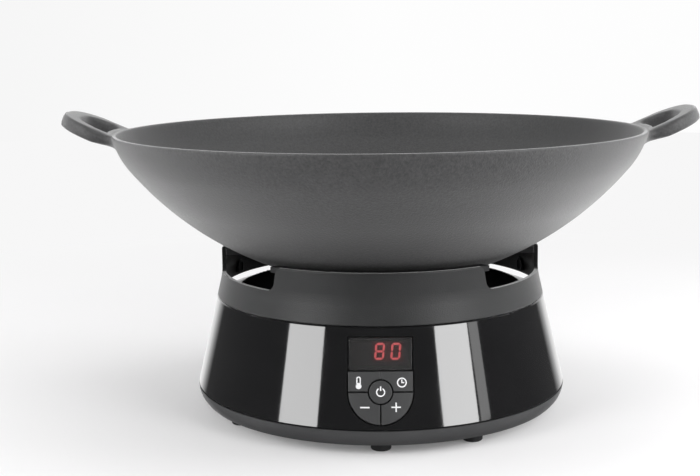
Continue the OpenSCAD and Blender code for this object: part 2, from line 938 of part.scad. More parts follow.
module fan_frame() {
    color("#1b1b1c")
    translate([0, fan_y, 0]) {
        difference() {
            translate([0, 0, fan_z]) linear_extrude(fan_d) round_rect(fan_w, fan_w, fan_round);
            translate([0, 0, fan_z - cut]) cylinder(h = fan_d + 2 * cut, r = duct_r);
            for (sx = [-1, 1], sy = [-1, 1])
                translate([sx * fan_hole, sy * fan_hole, fan_z - cut])
                    cylinder(h = fan_d + 2 * cut, r = small_screw_r + screw_fit);
        }
        translate([0, 0, fan_z]) {
            cylinder(h = stator_h, r = hub_r - stator_inset);
            for (a = [45 : 90 : 315])
                rotate([0, 0, a]) translate([0, -strut_w / 2, 0])
                    cube([duct_r + strut_root, strut_w, strut_t]);
            cylinder(h = shaft_top - fan_z, r = shaft_r);
        }
    }
}

module fan_rotor() {
    blade_r = duct_r - blade_gap;
    h = rotor_top - rotor_z;
    color("#252627")
    translate([0, fan_y, 0])
        difference() {
            union() {
                translate([0, 0, rotor_z]) cylinder(h = h, r = hub_r);
                intersection() {
                    translate([0, 0, rotor_z]) cylinder(h = h, r = blade_r);
                    for (i = [0 : blade_count - 1])
                        rotate([0, 0, 360 * i / blade_count])
                            translate([0, 0, (rotor_z + rotor_top) / 2]) rotate([blade_pitch, 0, 0])
                                translate([hub_r - blade_root, -h, -blade_t / 2])
                                    cube([blade_r, 2 * h, blade_t]);
                }
            }
            translate([0, 0, rotor_z - cut])
                cylinder(h = shaft_top - rotor_z + shaft_end_clear + cut, r = shaft_r + running_fit);
        }
}

module fan_screws() {
    color("silver")
    for (sx = [-1, 1], sy = [-1, 1])
        translate([sx * fan_hole, fan_y + sy * fan_hole, fan_z + fan_d])
            screw(fan_d + fan_lift - fan_screw_spare, small_screw_r, small_screw_head_r, small_screw_head_h);
}

// Power board in front of the fan, with the parts that drive the coil
sink_w = 52;
sink_d = 56;
sink_base = 3;
sink_x = -16;
sink_y = power_y + 6;
sink_lift = 7;
power_top = power_z + board_t;

module power_board() {
    color("#1f5a35")
    difference() {
        translate([0, power_y, power_z]) linear_extrude(board_t) round_rect(power_w, power_d, board_round);
        for (sx = [-1, 1], sy = [-1, 1])
            translate([sx * power_hole_x, power_y + sy * power_hole_y, power_z - cut])
                cylinder(h = board_t + 2 * cut, r = small_screw_r + screw_fit);
    }
}

module power_screws() {
    color("silver")
    for (sx = [-1, 1], sy = [-1, 1])
        translate([sx * power_hole_x, power_y + sy * power_hole_y, power_top])
            screw(small_screw_len, small_screw_r, small_screw_head_r, small_screw_head_h);
}

// Finned heat sink over the transistors, open towards the fan
module heat_sink() {
    fin_t = 1.5;
    color("#b9bcc0")
    translate([sink_x, sink_y, power_top + sink_lift]) {
        translate([-sink_w / 2, -sink_d / 2, 0]) cube([sink_w, sink_d, sink_base]);
        for (i = [0 : fin_count - 1])
            translate([-sink_w / 2 + i * (sink_w - fin_t) / (fin_count - 1), -sink_d / 2, 0])
                cube([fin_t, sink_d, sink_base + fin_h]);
    }
}

// Flat packages clamped under the heat sink, with three bent legs each
package_w = 16;
package_d = 20;
package_h = 5;
package_pitch = 28;
leg_w = 1.2;
leg_pitch = 5.4;
leg_reach = 3;
leg_rise = 1;

module power_transistors() {
    color("#202122")
    for (s = [-1, 1])
        translate([
            sink_x,
            sink_y + (s * package_pitch - package_d) / 2 + leg_w,
            power_top + sink_lift - package_h
        ]) {
            translate([-package_w / 2, 0, 0]) cube([package_w, package_d, package_h]);
            for (i = [-1 : 1])
                translate([i * leg_pitch - leg_w / 2, package_d, 0]) {
                    translate([0, 0, leg_rise]) cube([leg_w, leg_reach, leg_w]);
                    translate([0, leg_reach - leg_w, package_h - sink_lift])
                        cube([leg_w, leg_w, sink_lift - package_h + leg_rise + leg_w]);
                }
        }
}

// Two boxed capacitors in a row beside the heat sink, the larger one behind
capacitor_x = 26;
capacitor_gap = 2;
capacitor_mid = 6;
large_capacitor_w = 11;
large_capacitor_d = 32;
large_capacitor_h = 20;
small_capacitor_w = 9;
small_capacitor_d = 26;
small_capacitor_h = 17;
capacitor_round = 1;

module film_capacitors() {
    color("#c9a227")
    translate([capacitor_x, power_y + capacitor_mid, power_top]) {
        translate([0, (large_capacitor_d + capacitor_gap) / 2])
            linear_extrude(large_capacitor_h)
                round_rect(large_capacitor_w, large_capacitor_d, capacitor_round);
        translate([0, -(small_capacitor_d + capacitor_gap) / 2])
            linear_extrude(small_capacitor_h)
                round_rect(small_capacitor_w, small_capacitor_d, capacitor_round);
    }
}

// Ring choke on its foot
choke_ring_r = 7;
choke_wire_r = 3.5;
choke_gap = 2;
choke_foot_w = 6;
choke_foot_d = 10;
choke_foot_h = 2;
choke_sink = 0.5;
choke_x = capacitor_x + large_capacitor_w / 2 + choke_gap + choke_wire_r;

module filter_choke() {
    color("#a35b2a")
    translate([choke_x, power_y, power_top]) {
        translate([-choke_foot_w / 2, -choke_foot_d / 2, 0]) cube([choke_foot_w, choke_foot_d, choke_foot_h]);
        translate([0, 0, choke_foot_h - choke_sink + choke_ring_r + choke_wire_r])
            rotate([0, 90, 0]) rotate_extrude() translate([choke_ring_r, 0]) circle(choke_wire_r, $fn = 48);
    }
}

// Terminal block at the board's front edge, with a wire's hole and a clamp screw's hole for each pole
terminal_w = 16;
terminal_d = 9;
terminal_h = 11;
terminal_x = 32;
terminal_margin = 6;
wire_hole_r = 1.8;
wire_hole_z = 3;
clamp_hole_r = 2;
clamp_hole_z = 5;

module mains_terminal() {
    color("#dedede")
    translate([terminal_x - terminal_w / 2, power_y - power_d / 2 + terminal_margin, power_top])
        difference() {
            cube([terminal_w, terminal_d, terminal_h]);
            for (x = [terminal_w / 4, 3 * terminal_w / 4]) {
                translate([x, terminal_d / 2, clamp_hole_z]) cylinder(h = terminal_h, r = clamp_hole_r);
                translate([x, -cut, wire_hole_z])
                    rotate([-90, 0, 0]) cylinder(h = terminal_d, r = wire_hole_r);
            }
        }
}

// Induction coil: standoffs, carrier with ferrite bars, flat winding, mica and sensor
mica_t = 0.5;
mica_inset = 6;
mica_r = ledge_r - mica_inset;
mica_clear = 1.9;
carrier_top = ledge_top - mica_clear - mica_t - strand_h;
carrier_z = carrier_top - carrier_t;
standoff_z = floor_z + standoff_seat_h;
standoff_r = 4;
ferrite_w = 12;
ferrite_h = 5;
ferrite_r0 = 25;
ferrite_len = 44;
sensor_r = 6;
sensor_flange_r = 9;
sensor_flange_t = 1.5;
sensor_tail = 2;
mica_hole_gap = 1;
carrier_slot_r = 48;
carrier_slot_len = 40;
carrier_slot_w = 10;
carrier_screw_spare = 1;

module coil_standoffs() {
    color("#c7b36a")
    for (az = standoff_az)
        at_az(az, standoff_ring_r, standoff_z)
            difference() {
                cylinder(h = carrier_z - standoff_z, r = standoff_r, $fn = 6);
                translate([0, 0, carrier_z - standoff_z - small_screw_len])
                    cylinder(h = small_screw_len + cut, r = small_screw_r + screw_fit);
            }
}

module carrier_screws() {
    color("silver")
    for (az = standoff_az)
        at_az(az, standoff_ring_r, carrier_top)
            screw(
                carrier_t + small_screw_len - carrier_screw_spare,
                small_screw_r, small_screw_head_r, small_screw_head_h
            );
}

module coil_carrier() {
    color("#d9d4c4")
    difference() {
        translate([0, 0, carrier_z]) cylinder(h = carrier_t, r = carrier_r);
        translate([0, 0, carrier_z - cut]) cylinder(h = carrier_t + 2 * cut, r = sensor_r + fit);
        for (i = [0 : ferrite_count - 1])
            at_az(360 * i / ferrite_count, carrier_slot_r, carrier_z - cut)
                linear_extrude(carrier_t + 2 * cut) slot(carrier_slot_len, carrier_slot_w);
        for (az = standoff_az)
            at_az(az, standoff_ring_r, carrier_z - cut)
                cylinder(h = carrier_t + 2 * cut, r = small_screw_r + screw_fit);
    }
}

module ferrite_bars() {
    color("#3b3c40")
    for (i = [0 : ferrite_count - 1])
        at_az(360 * (i + 0.5) / ferrite_count, ferrite_r0, carrier_z - ferrite_h)
            translate([0, -ferrite_w / 2, 0]) cube([ferrite_len, ferrite_w, ferrite_h]);
}

// Flat spiral, wound as one strand from the middle outwards
module induction_coil() {
    steps = 30;
    last = coil_turns * steps;
    function strand_point(i, side) =
        let (r = coil_r0 + coil_pitch * i / steps + side * strand_w / 2)
        [r * cos(360 * i / steps), r * sin(360 * i / steps)];
    color("#b06a35")
    translate([0, 0, carrier_top])
        linear_extrude(strand_h)
            polygon(concat(
                [for (i = [0 : last]) strand_point(i, 1)],
                [for (i = [last : -1 : 0]) strand_point(i, -1)]
            ));
}

module mica_sheet() {
    color("#d8c79a")
    translate([0, 0, carrier_top + strand_h])
        difference() {
            cylinder(h = mica_t, r = mica_r);
            translate([0, 0, -cut]) cylinder(h = mica_t + 2 * cut, r = sensor_flange_r + mica_hole_gap);
        }
}

// Temperature sensor, held in the carrier and pressed against the glass
module temperature_sensor() {
    color("#e6e3da") {
        translate([0, 0, carrier_top]) cylinder(h = sensor_flange_t, r = sensor_flange_r);
        translate([0, 0, carrier_z - sensor_tail])
            cylinder(h = ledge_top - carrier_z + sensor_tail, r = sensor_r);
    }
}

// Wok: a cast bowl with a loop handle on either side, all in one piece
rim_z = wok_z - bowl_r + bowl_depth;
// Middle of the shoulder's curve, which runs on smoothly from the bowl's curve and ends at the rim.
// The shoulder turns upwards to a rim inside the bowl's sphere, and flares to one outside it.
rim_from_middle = [rim_r, rim_z - wok_z];
rim_reach = norm(rim_from_middle);
shoulder_bend = rim_reach < bowl_r ? shoulder_r : -shoulder_r;
shoulder_reach = bowl_r - shoulder_bend;
along = (rim_reach * rim_reach + shoulder_reach * shoulder_reach - shoulder_r * shoulder_r) / (2 * rim_reach);
across = sqrt(shoulder_reach * shoulder_reach - along * along);
shoulder_x = (along * rim_from_middle[0] + across * rim_from_middle[1]) / rim_reach;
shoulder_z = wok_z + (along * rim_from_middle[1] - across * rim_from_middle[0]) / rim_reach;
root_sink = 4.825;
handle_drop = 7.1;
root_len = 13;
root_t = 6.6;
root_depth = 8;
bar_round = 3.4;

// Points down the bowl's curve and up its shoulder to a height, on the outside drawn in by an inset
function bowl_curve(inset, z1) =
    let (
        meet = atan2(shoulder_x, wok_z - shoulder_z),
        end = acos((shoulder_z - z1) / (shoulder_bend - inset)),
        bowl_steps = 40,
        shoulder_steps = 10
    )
    concat(
        [for (i = [0 : bowl_steps])
            let (a = meet * i / bowl_steps)
            [(bowl_r - inset) * sin(a), wok_z - (bowl_r - inset) * cos(a)]],
        [for (i = [1 : shoulder_steps])
            let (a = meet + (end - meet) * i / shoulder_steps)
            [shoulder_x + (shoulder_bend - inset) * sin(a), shoulder_z - (shoulder_bend - inset) * cos(a)]]
    );

// Solid of the bowl, straight upwards from the rim to a height
module bowl_solid(inset, z1) {
    curve = bowl_curve(inset, rim_z);
    mouth_r = curve[len(curve) - 1][0];
    rotate_extrude(convexity = 4)
        polygon(concat(curve, [[mouth_r, z1], [0, z1]]));
}

// Radius of the wok's outside at a height on its shoulder
function shoulder_wall_r(z) =
    shoulder_x + sign(shoulder_bend) * sqrt(shoulder_r * shoulder_r - (shoulder_z - z) * (shoulder_z - z));

// Loop handle on the +X side: a rounded bar bent round a finger slot, on a root plate sunk in the wall
module handle() {
    straight = handle_len - handle_corner - bar_w / 2;
    bend_y = handle_half_w - handle_corner;
    module bar_section() {
        round_rect(bar_w, bar_t, bar_round);
    }
    translate([shoulder_wall_r(rim_z - handle_drop) - root_sink, 0, rim_z - handle_drop]) rotate([0, -handle_rise, 0]) {
        for (s = [-1, 1]) {
            translate([-root_depth, s * handle_half_w, 0])
                rotate([90, 0, 90]) linear_extrude(straight + root_depth) bar_section();
            translate([straight, s * bend_y, 0])
                rotate([0, 0, s < 0 ? -90 : 0])
                    rotate_extrude(angle = 90) translate([handle_corner, 0]) bar_section();
        }
        translate([straight + handle_corner, bend_y, 0])
            rotate([90, 0, 0]) linear_extrude(2 * bend_y) bar_section();
        translate([-root_depth, -handle_half_w, -root_t / 2])
            cube([root_depth + root_len, 2 * handle_half_w, root_t]);
    }
}

module wok() {
    color("#55565a")
    difference() {
        union() {
            bowl_solid(0, rim_z);
            handle();
            rotate([0, 0, 180]) handle();
        }
        bowl_solid(wok_wall, rim_z + 2 * bar_t);
    }
}

base_tray();
feet();
skirt_shell();
housing_screws();
cord_gland();
collar();
glass_plate();
glass_seal();
wok_pads();
key_frame();
frame_screws();
display_window();
key_temperature();
key_timer();
key_power();
key_minus();
key_plus();
control_board();
board_screws();
tact_switches();
display_module();
display_digits();
fan_frame();
fan_rotor();
fan_screws();
power_board();
power_screws();
heat_sink();
power_transistors();
film_capacitors();
filter_choke();
mains_terminal();
coil_standoffs();
carrier_screws();
coil_carrier();
ferrite_bars();
induction_coil();
mica_sheet();
temperature_sensor();
wok();
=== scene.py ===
import math

import bmesh
import bpy
from mathutils import Matrix, Vector


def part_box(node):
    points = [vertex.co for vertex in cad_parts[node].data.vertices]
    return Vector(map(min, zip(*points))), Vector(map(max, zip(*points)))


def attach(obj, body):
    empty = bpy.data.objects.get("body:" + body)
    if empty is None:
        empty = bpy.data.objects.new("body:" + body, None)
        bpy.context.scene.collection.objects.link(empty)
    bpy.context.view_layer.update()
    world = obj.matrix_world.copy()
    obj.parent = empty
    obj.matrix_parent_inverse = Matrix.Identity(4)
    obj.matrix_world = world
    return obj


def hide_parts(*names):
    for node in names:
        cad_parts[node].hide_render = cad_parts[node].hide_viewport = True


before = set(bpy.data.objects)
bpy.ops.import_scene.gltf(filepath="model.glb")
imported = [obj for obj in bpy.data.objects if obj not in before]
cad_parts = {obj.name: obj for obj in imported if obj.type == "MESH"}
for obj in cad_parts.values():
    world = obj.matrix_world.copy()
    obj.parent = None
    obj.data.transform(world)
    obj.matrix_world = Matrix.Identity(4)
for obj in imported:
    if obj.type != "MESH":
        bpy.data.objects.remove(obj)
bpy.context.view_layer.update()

scene = bpy.context.scene
scene.view_settings.view_transform = "Standard"

# Camera: stands in front of the cooker, just above the wok's rim, and looks a little down on it,
# turned and rolled by a degree or so, as the photograph was taken.
IMAGE_WIDTH_PX = 700
FOCAL_PX = 1200
CAMERA_PLACE = Vector((0.0, -0.8219, 0.2523))
PITCH, YAW, ROLL = math.radians(9.531), math.radians(-1.421), math.radians(-0.701)

camera_data = bpy.data.cameras.new("photo_camera")
camera_data.sensor_width = 36.0
camera_data.lens = camera_data.sensor_width * FOCAL_PX / IMAGE_WIDTH_PX
camera_data.clip_start = 0.01
camera = bpy.data.objects.new("photo_camera", camera_data)
scene.collection.objects.link(camera)
ahead = Vector((math.sin(YAW) * math.cos(PITCH), math.cos(YAW) * math.cos(PITCH), -math.sin(PITCH)))
level = Vector((math.cos(YAW), -math.sin(YAW), 0.0))
upright = level.cross(ahead)
right = math.cos(ROLL) * level + math.sin(ROLL) * upright
up = math.cos(ROLL) * upright - math.sin(ROLL) * level
camera.matrix_world = Matrix((right, up, -ahead)).transposed().to_4x4()
camera.location = CAMERA_PLACE
scene.camera = camera

# Studio: a white room that is open behind the cooker and dark behind the camera,
# so that gloss shows white at its outlines and black in its middle.
world = bpy.data.worlds.new("white_room")
world.use_nodes = True
scene.world = world
sky = world.node_tree
sky.nodes.clear()


def add_node(tree, kind, inputs=None, **settings):
    """A node of a kind in a tree, with its settings, and its inputs set or linked by name or number."""
    node = tree.nodes.new(kind)
    for name, value in settings.items():
        setattr(node, name, value)
    for name, value in (inputs or {}).items():
        if isinstance(value, bpy.types.NodeSocket):
            tree.links.new(value, node.inputs[name])
        else:
            node.inputs[name].default_value = value
    return node


direction = add_node(sky, "ShaderNodeTexCoord").outputs["Generated"]
spread = add_node(sky, "ShaderNodeSeparateXYZ", {0: direction})


def shade_across(label, stops):
    """A grey that changes across the room, along X or Y, through stops of (place, grey)."""
    place = add_node(sky, "ShaderNodeMapRange", {"Value": spread.outputs[label], "From Min": -1.0}).outputs[0]
    ramp = add_node(sky, "ShaderNodeValToRGB", {0: place})
    while len(ramp.color_ramp.elements) < len(stops):
        ramp.color_ramp.elements.new(0.5)
    for element, (at, grey) in zip(ramp.color_ramp.elements, stops):
        element.position = (at + 1) / 2
        element.color = (grey, grey, grey, 1)
    return ramp.outputs[0]


lit_room = shade_across("Y", [(-0.8, 0.18), (0.2, 0.42), (0.9, 0.75)])
gloss_room = shade_across("Y", [(-0.8, 0.07), (0.71, 0.07), (0.86, 1.0)])
seen_room = shade_across("X", [(-0.45, 0.89), (0.0, 0.985)])
rays = add_node(sky, "ShaderNodeLightPath")
seen = add_node(sky, "ShaderNodeMath", {
    0: rays.outputs["Is Camera Ray"], 1: rays.outputs["Is Transmission Ray"]}, operation="MAXIMUM").outputs[0]
room_light = add_node(sky, "ShaderNodeBackground", {"Color": lit_room, "Strength": 1.0})
room_gloss = add_node(sky, "ShaderNodeBackground", {"Color": gloss_room, "Strength": 1.0})
white_wall = add_node(sky, "ShaderNodeBackground", {"Color": seen_room, "Strength": 1.0})
unseen = add_node(sky, "ShaderNodeMixShader", {
    0: rays.outputs["Is Glossy Ray"], 1: room_light.outputs[0], 2: room_gloss.outputs[0]})
both = add_node(sky, "ShaderNodeMixShader", {0: seen, 1: unseen.outputs[0], 2: white_wall.outputs[0]})
add_node(sky, "ShaderNodeOutputWorld", {0: both.outputs[0]})

# Softboxes: two tall lamps in front of the cooker, one on either side, and a wide one above. Their
# reflections are the upright bands on the skirt, with a dim one beside the band on the right. The
# washes and the fill light the flanks and the floor, and the gloss doesn't see them.
LAMP_DISTANCE, AIM_HEIGHT = 1.3, 0.08


def add_lamp(name, azimuth, elevation, width, height, radiance):
    """A flat lamp that faces the cooker, seen in its gloss and not by the camera."""
    data = bpy.data.lights.new(name, "AREA")
    data.shape = "RECTANGLE"
    data.size, data.size_y = width, height
    data.energy = radiance * math.pi * width * height
    lamp = bpy.data.objects.new(name, data)
    scene.collection.objects.link(lamp)
    a, e = math.radians(azimuth), math.radians(elevation)
    place = Vector((math.sin(a) * math.cos(e), -math.cos(a) * math.cos(e), math.sin(e))) * LAMP_DISTANCE
    lamp.location = place + Vector((0, 0, AIM_HEIGHT))
    lamp.rotation_euler = place.to_track_quat("Z", "Y").to_euler()
    lamp.visible_camera = False
    return lamp


add_lamp("left_softbox", -48.2, 22, 0.58, 1.0, 4.6)
add_lamp("right_softbox", 46.3, 22, 0.53, 1.0, 5.4)
add_lamp("top_softbox", 180, 78, 1.2, 0.9, 0.9)
add_lamp("right_edge", 62, 22, 0.16, 1.0, 1.3)
add_lamp("left_wash", -95, 5, 0.9, 0.6, 8.8).visible_glossy = False
add_lamp("right_wash", 95, 5, 0.9, 0.6, 14.5).visible_glossy = False
add_lamp("right_fill", 85, 42, 0.6, 0.6, 1.8).visible_glossy = False

# Floor: a white sweep of card that keeps the cooker's shadow and runs out into the white room.
# The gloss sees the room through it, so the white at the skirt's outlines stays a straight band.
FLOOR_R = 2.4
CARD_NEAR, CARD_FAR, CARD_LEAST = 0.2, 0.75, 0.12
floor_bm = bmesh.new()
bmesh.ops.create_circle(floor_bm, cap_ends=True, segments=96, radius=FLOOR_R)
floor_mesh = bpy.data.meshes.new("floor")
floor_bm.to_mesh(floor_mesh)
floor_bm.free()
floor = bpy.data.objects.new("floor", floor_mesh)
scene.collection.objects.link(floor)
floor.visible_glossy = False

card = bpy.data.materials.new("white_card")
card.use_nodes = True
tree = card.node_tree
tree.nodes.clear()
place = add_node(tree, "ShaderNodeTexCoord").outputs["Object"]
away = add_node(tree, "ShaderNodeVectorMath", {0: place}, operation="LENGTH").outputs["Value"]
far_off = add_node(tree, "ShaderNodeMapRange", {
    "Value": away, "From Min": CARD_NEAR, "From Max": CARD_FAR, "To Min": CARD_LEAST},
    interpolation_type="SMOOTHSTEP").outputs[0]
card_rays = add_node(tree, "ShaderNodeLightPath")
seen_card = add_node(tree, "ShaderNodeMath", {
    0: card_rays.outputs["Is Camera Ray"], 1: far_off}, operation="MULTIPLY").outputs[0]
paper = add_node(tree, "ShaderNodeBsdfDiffuse", {"Color": (0.87, 0.865, 0.87, 1)})
white = add_node(tree, "ShaderNodeEmission", {"Color": (0.93, 0.928, 0.93, 1), "Strength": 1.0})
card_shader = add_node(tree, "ShaderNodeMixShader", {0: seen_card, 1: paper.outputs[0], 2: white.outputs[0]})
add_node(tree, "ShaderNodeOutputMaterial", {0: card_shader.outputs[0]})
floor_mesh.materials.append(card)

# Base tray: the moulded bottom pan of the housing, in satin dark grey plastic with a fine
# spark-eroded grain. Its wall tucks in below the skirt, and four screws hold it to the skirt.


def add_group(name, inputs, outputs):
    """An empty node group, with its input and output nodes."""
    group = bpy.data.node_groups.new(name, "ShaderNodeTree")
    for label, kind, value in inputs:
        socket = group.interface.new_socket(label, in_out="INPUT", socket_type=kind)
        socket.default_value = value
    for label, kind in outputs:
        group.interface.new_socket(label, in_out="OUTPUT", socket_type=kind)
    return group, group.nodes.new("NodeGroupInput"), group.nodes.new("NodeGroupOutput")


# Grain of a moulded or cast skin: a fine height for bump and a slow mottle for colour and gloss.
MOTTLE_LOW, MOTTLE_HIGH = 0.3, 0.7
skin_grain, grain_in, grain_out = add_group(
    "skin_grain",
    [("Grain Scale", "NodeSocketFloat", 900.0), ("Mottle Scale", "NodeSocketFloat", 30.0)],
    [("Height", "NodeSocketFloat"), ("Mottle", "NodeSocketFloat")],
)
grain_place = add_node(skin_grain, "ShaderNodeTexCoord").outputs["Object"]
fine = add_node(skin_grain, "ShaderNodeTexNoise", {
    "Vector": grain_place, "Scale": grain_in.outputs["Grain Scale"], "Detail": 3.0, "Roughness": 0.6})
pits = add_node(skin_grain, "ShaderNodeTexVoronoi", {
    "Vector": grain_place, "Scale": grain_in.outputs["Grain Scale"]}, feature="SMOOTH_F1")
slow = add_node(skin_grain, "ShaderNodeTexNoise", {
    "Vector": grain_place, "Scale": grain_in.outputs["Mottle Scale"], "Detail": 5.0, "Roughness": 0.55})
grain_height = add_node(skin_grain, "ShaderNodeMath", {
    0: fine.outputs["Fac"], 1: pits.outputs["Distance"]}, operation="ADD")
skin_grain.links.new(grain_height.outputs[0], grain_out.inputs["Height"])
skin_grain.links.new(slow.outputs["Fac"], grain_out.inputs["Mottle"])


def mottled(tree, skin, low, high):
    """A value, or a colour, that runs from low to high with the mottle of a skin."""
    share = add_node(tree, "ShaderNodeMapRange", {
        "Value": skin.outputs["Mottle"], "From Min": MOTTLE_LOW, "From Max": MOTTLE_HIGH}).outputs[0]
    if isinstance(low, tuple):
        blend = add_node(tree, "ShaderNodeMix", {0: share, 6: low + (1,), 7: high + (1,)}, data_type="RGBA")
        return blend.outputs[2]
    return add_node(tree, "ShaderNodeMapRange", {"Value": share, "To Min": low, "To Max": high}).outputs[0]


def grained_material(name, dark, light, rough, grain_scale, grain_depth, mottle_scale=30.0, **sockets):
    """A skin with grain: its colour runs from dark to light and its roughness over the span rough."""
    material = bpy.data.materials.new(name)
    material.use_nodes = True
    tree = material.node_tree
    shader = tree.nodes["Principled BSDF"]
    skin = add_node(tree, "ShaderNodeGroup", {
        "Grain Scale": grain_scale, "Mottle Scale": mottle_scale}, node_tree=skin_grain)
    bump = add_node(tree, "ShaderNodeBump", {
        "Height": skin.outputs["Height"], "Strength": 1.0, "Distance": grain_depth})
    tree.links.new(mottled(tree, skin, dark, light), shader.inputs["Base Color"])
    tree.links.new(mottled(tree, skin, *rough), shader.inputs["Roughness"])
    tree.links.new(bump.outputs[0], shader.inputs["Normal"])
    for label, value in sockets.items():
        shader.inputs[label].default_value = value
    return material


def dress(material, *nodes):
    """Gives nodes of the frame their material."""
    for node in nodes:
        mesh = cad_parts[node].data
        mesh.materials.clear()
        mesh.materials.append(material)


tray_plastic = grained_material("tray_plastic", (0.052, 0.0525, 0.054), (0.062, 0.0625, 0.064),
                                (0.34, 0.44), 1400, 0.00003)
dress(tray_plastic, "base_tray")

# Feet: rubber plugs, each pressed by its peg into a hole in the tray's floor. The mould leaves
# a rounded edge and a shallow dish in the face that stands on the table. One foot is at the front,
# and its copies are turned to the other places.
MM = 0.001
SMOOTH_ANGLE = math.radians(50)
FOOT_R, FOOT_H, FOOT_ROUND, FOOT_TOP_ROUND = 6.5, 6.5, 1.2, 0.4
DISH_R, DISH_DEPTH = 3.4, 0.5
PEG_R, PEG_H, PEG_ROUND = 2.5, 2.5, 0.6
FOOT_RING_R = 109.0
FOOT_AZIMUTHS = (32, 122, 212, 302)


def only_verts(geom):
    """The vertices among what an operator made."""
    return [g for g in geom if isinstance(g, bmesh.types.BMVert)]


def soften(bm, geom, offset, segments, affect="EDGES", clamp=False):
    """Rounds edges, or corners, of a mesh."""
    bmesh.ops.bevel(bm, geom=geom, offset=offset, offset_type="OFFSET", segments=segments, profile=0.5,
                    affect=affect, clamp_overlap=clamp, material=-1)


def spin(bm, geom, angle, steps, cent=(0, 0, 0)):
    """Spins an outline about an upright axis, and joins a full turn's end to its start."""
    return bmesh.ops.spin(bm, geom=geom, axis=(0, 0, 1), cent=cent, angle=angle, steps=steps,
                          use_merge=angle > 2 * math.pi - 1e-6)["geom_last"]


def spin_profile(points, rounds=(), steps=96, angle=2 * math.pi, closed=False):
    """A mesh in millimetres spun from a line of (radius, height) points, with some corners rounded."""
    bm = bmesh.new()
    verts = [bm.verts.new((r, 0, z)) for r, z in points]
    for pair in zip(verts, verts[1:] + verts[:1] if closed else verts[1:]):
        bm.edges.new(pair)
    for number, radius in rounds:
        soften(bm, [verts[number]], radius, 4, "VERTICES")
    spin(bm, bm.verts[:] + bm.edges[:], angle, steps)
    bmesh.ops.remove_doubles(bm, verts=bm.verts, dist=0.001)
    bmesh.ops.holes_fill(bm, edges=[e for e in bm.edges if e.is_boundary], sides=0)
    bmesh.ops.recalc_face_normals(bm, faces=bm.faces)
    return bm


def turn_to(bm, verts, azimuth):
    """Turns what is modelled at the front to an azimuth, counted from the front towards +X."""
    bmesh.ops.rotate(bm, verts=verts, cent=(0, 0, 0), matrix=Matrix.Rotation(math.radians(azimuth), 3, "Z"))


def make_piece(name, bm, material, body, replaced=(), levels=0, even=False):
    """Turns a mesh in millimetres into a finished piece in metres that rides on a body."""
    bmesh.ops.scale(bm, vec=(MM, MM, MM), verts=bm.verts)
    mesh = bpy.data.meshes.new(name)
    bm.to_mesh(mesh)
    bm.free()
    mesh.shade_smooth()
    mesh.materials.append(material)
    piece = bpy.data.objects.new(name, mesh)
    scene.collection.objects.link(piece)
    if levels:
        subdivision = piece.modifiers.new("subdivision", "SUBSURF")
        subdivision.levels = subdivision.render_levels = levels
    if even:
        mesh.set_sharp_from_angle(angle=SMOOTH_ANGLE)
        piece.modifiers.new("even_shading", "WEIGHTED_NORMAL").keep_sharp = True
    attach(piece, body)
    if replaced:
        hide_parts(*replaced)
    return piece


rubber = grained_material("rubber", (0.014, 0.014, 0.015), (0.020, 0.020, 0.021), (0.62, 0.78), 1100, 0.00005)
bm = spin_profile(
    [(0, DISH_DEPTH), (DISH_R - DISH_DEPTH, DISH_DEPTH), (DISH_R, 0), (FOOT_R, 0), (FOOT_R, FOOT_H),
     (PEG_R, FOOT_H), (PEG_R, FOOT_H + PEG_H), (0, FOOT_H + PEG_H)],
    rounds=[(3, FOOT_ROUND), (4, FOOT_TOP_ROUND), (6, PEG_ROUND)], steps=48)
bmesh.ops.translate(bm, verts=bm.verts, vec=(0, -FOOT_RING_R, 0))
foot = bm.verts[:] + bm.edges[:] + bm.faces[:]
for azimuth in FOOT_AZIMUTHS:
    copy = bmesh.ops.duplicate(bm, geom=foot)["geom"]
    turn_to(bm, only_verts(copy), azimuth)
make_piece("rubber_feet", bm, rubber, "base", ["feet"], even=True)

# Fan, power board and coil: the works on the tray's floor. Boards carry a green solder mask,
# the sink is extruded aluminium, and the winding is enamelled copper strand under a mica sheet.
inner_plastic = grained_material("inner_plastic", (0.026, 0.026, 0.027), (0.034, 0.034, 0.035), (0.4, 0.55),
                                 1200, 0.00004)
dress(inner_plastic, "fan_frame", "fan_rotor", "mains_terminal", "coil_carrier", "power_transistors",
      "film_capacitors", "key_frame", "tact_switches")
circuit_board = grained_material("circuit_board", (0.016, 0.085, 0.034), (0.024, 0.115, 0.046), (0.3, 0.4),
                                 700, 0.00003)
dress(circuit_board, "control_board", "power_board")
heat_sink_aluminium = grained_material("heat_sink_aluminium", (0.62, 0.63, 0.64), (0.74, 0.75, 0.76),
                                       (0.3, 0.42), 900, 0.00004, Metallic=1.0)
dress(heat_sink_aluminium, "heat_sink")
copper = grained_material("copper", (0.48, 0.21, 0.09), (0.60, 0.28, 0.13), (0.3, 0.42), 600, 0.00008,
                          Metallic=1.0)
dress(copper, "induction_coil", "filter_choke")
standoff_brass = grained_material("standoff_brass", (0.55, 0.43, 0.17), (0.64, 0.51, 0.22), (0.25, 0.35),
                                  900, 0.00002, Metallic=1.0)
dress(standoff_brass, "coil_standoffs")
ferrite = grained_material("ferrite", (0.05, 0.05, 0.055), (0.07, 0.07, 0.075), (0.55, 0.7), 900, 0.0001)
dress(ferrite, "ferrite_bars", "temperature_sensor")
mica = grained_material("mica", (0.55, 0.48, 0.32), (0.68, 0.61, 0.43), (0.35, 0.5), 500, 0.00004)
dress(mica, "mica_sheet")

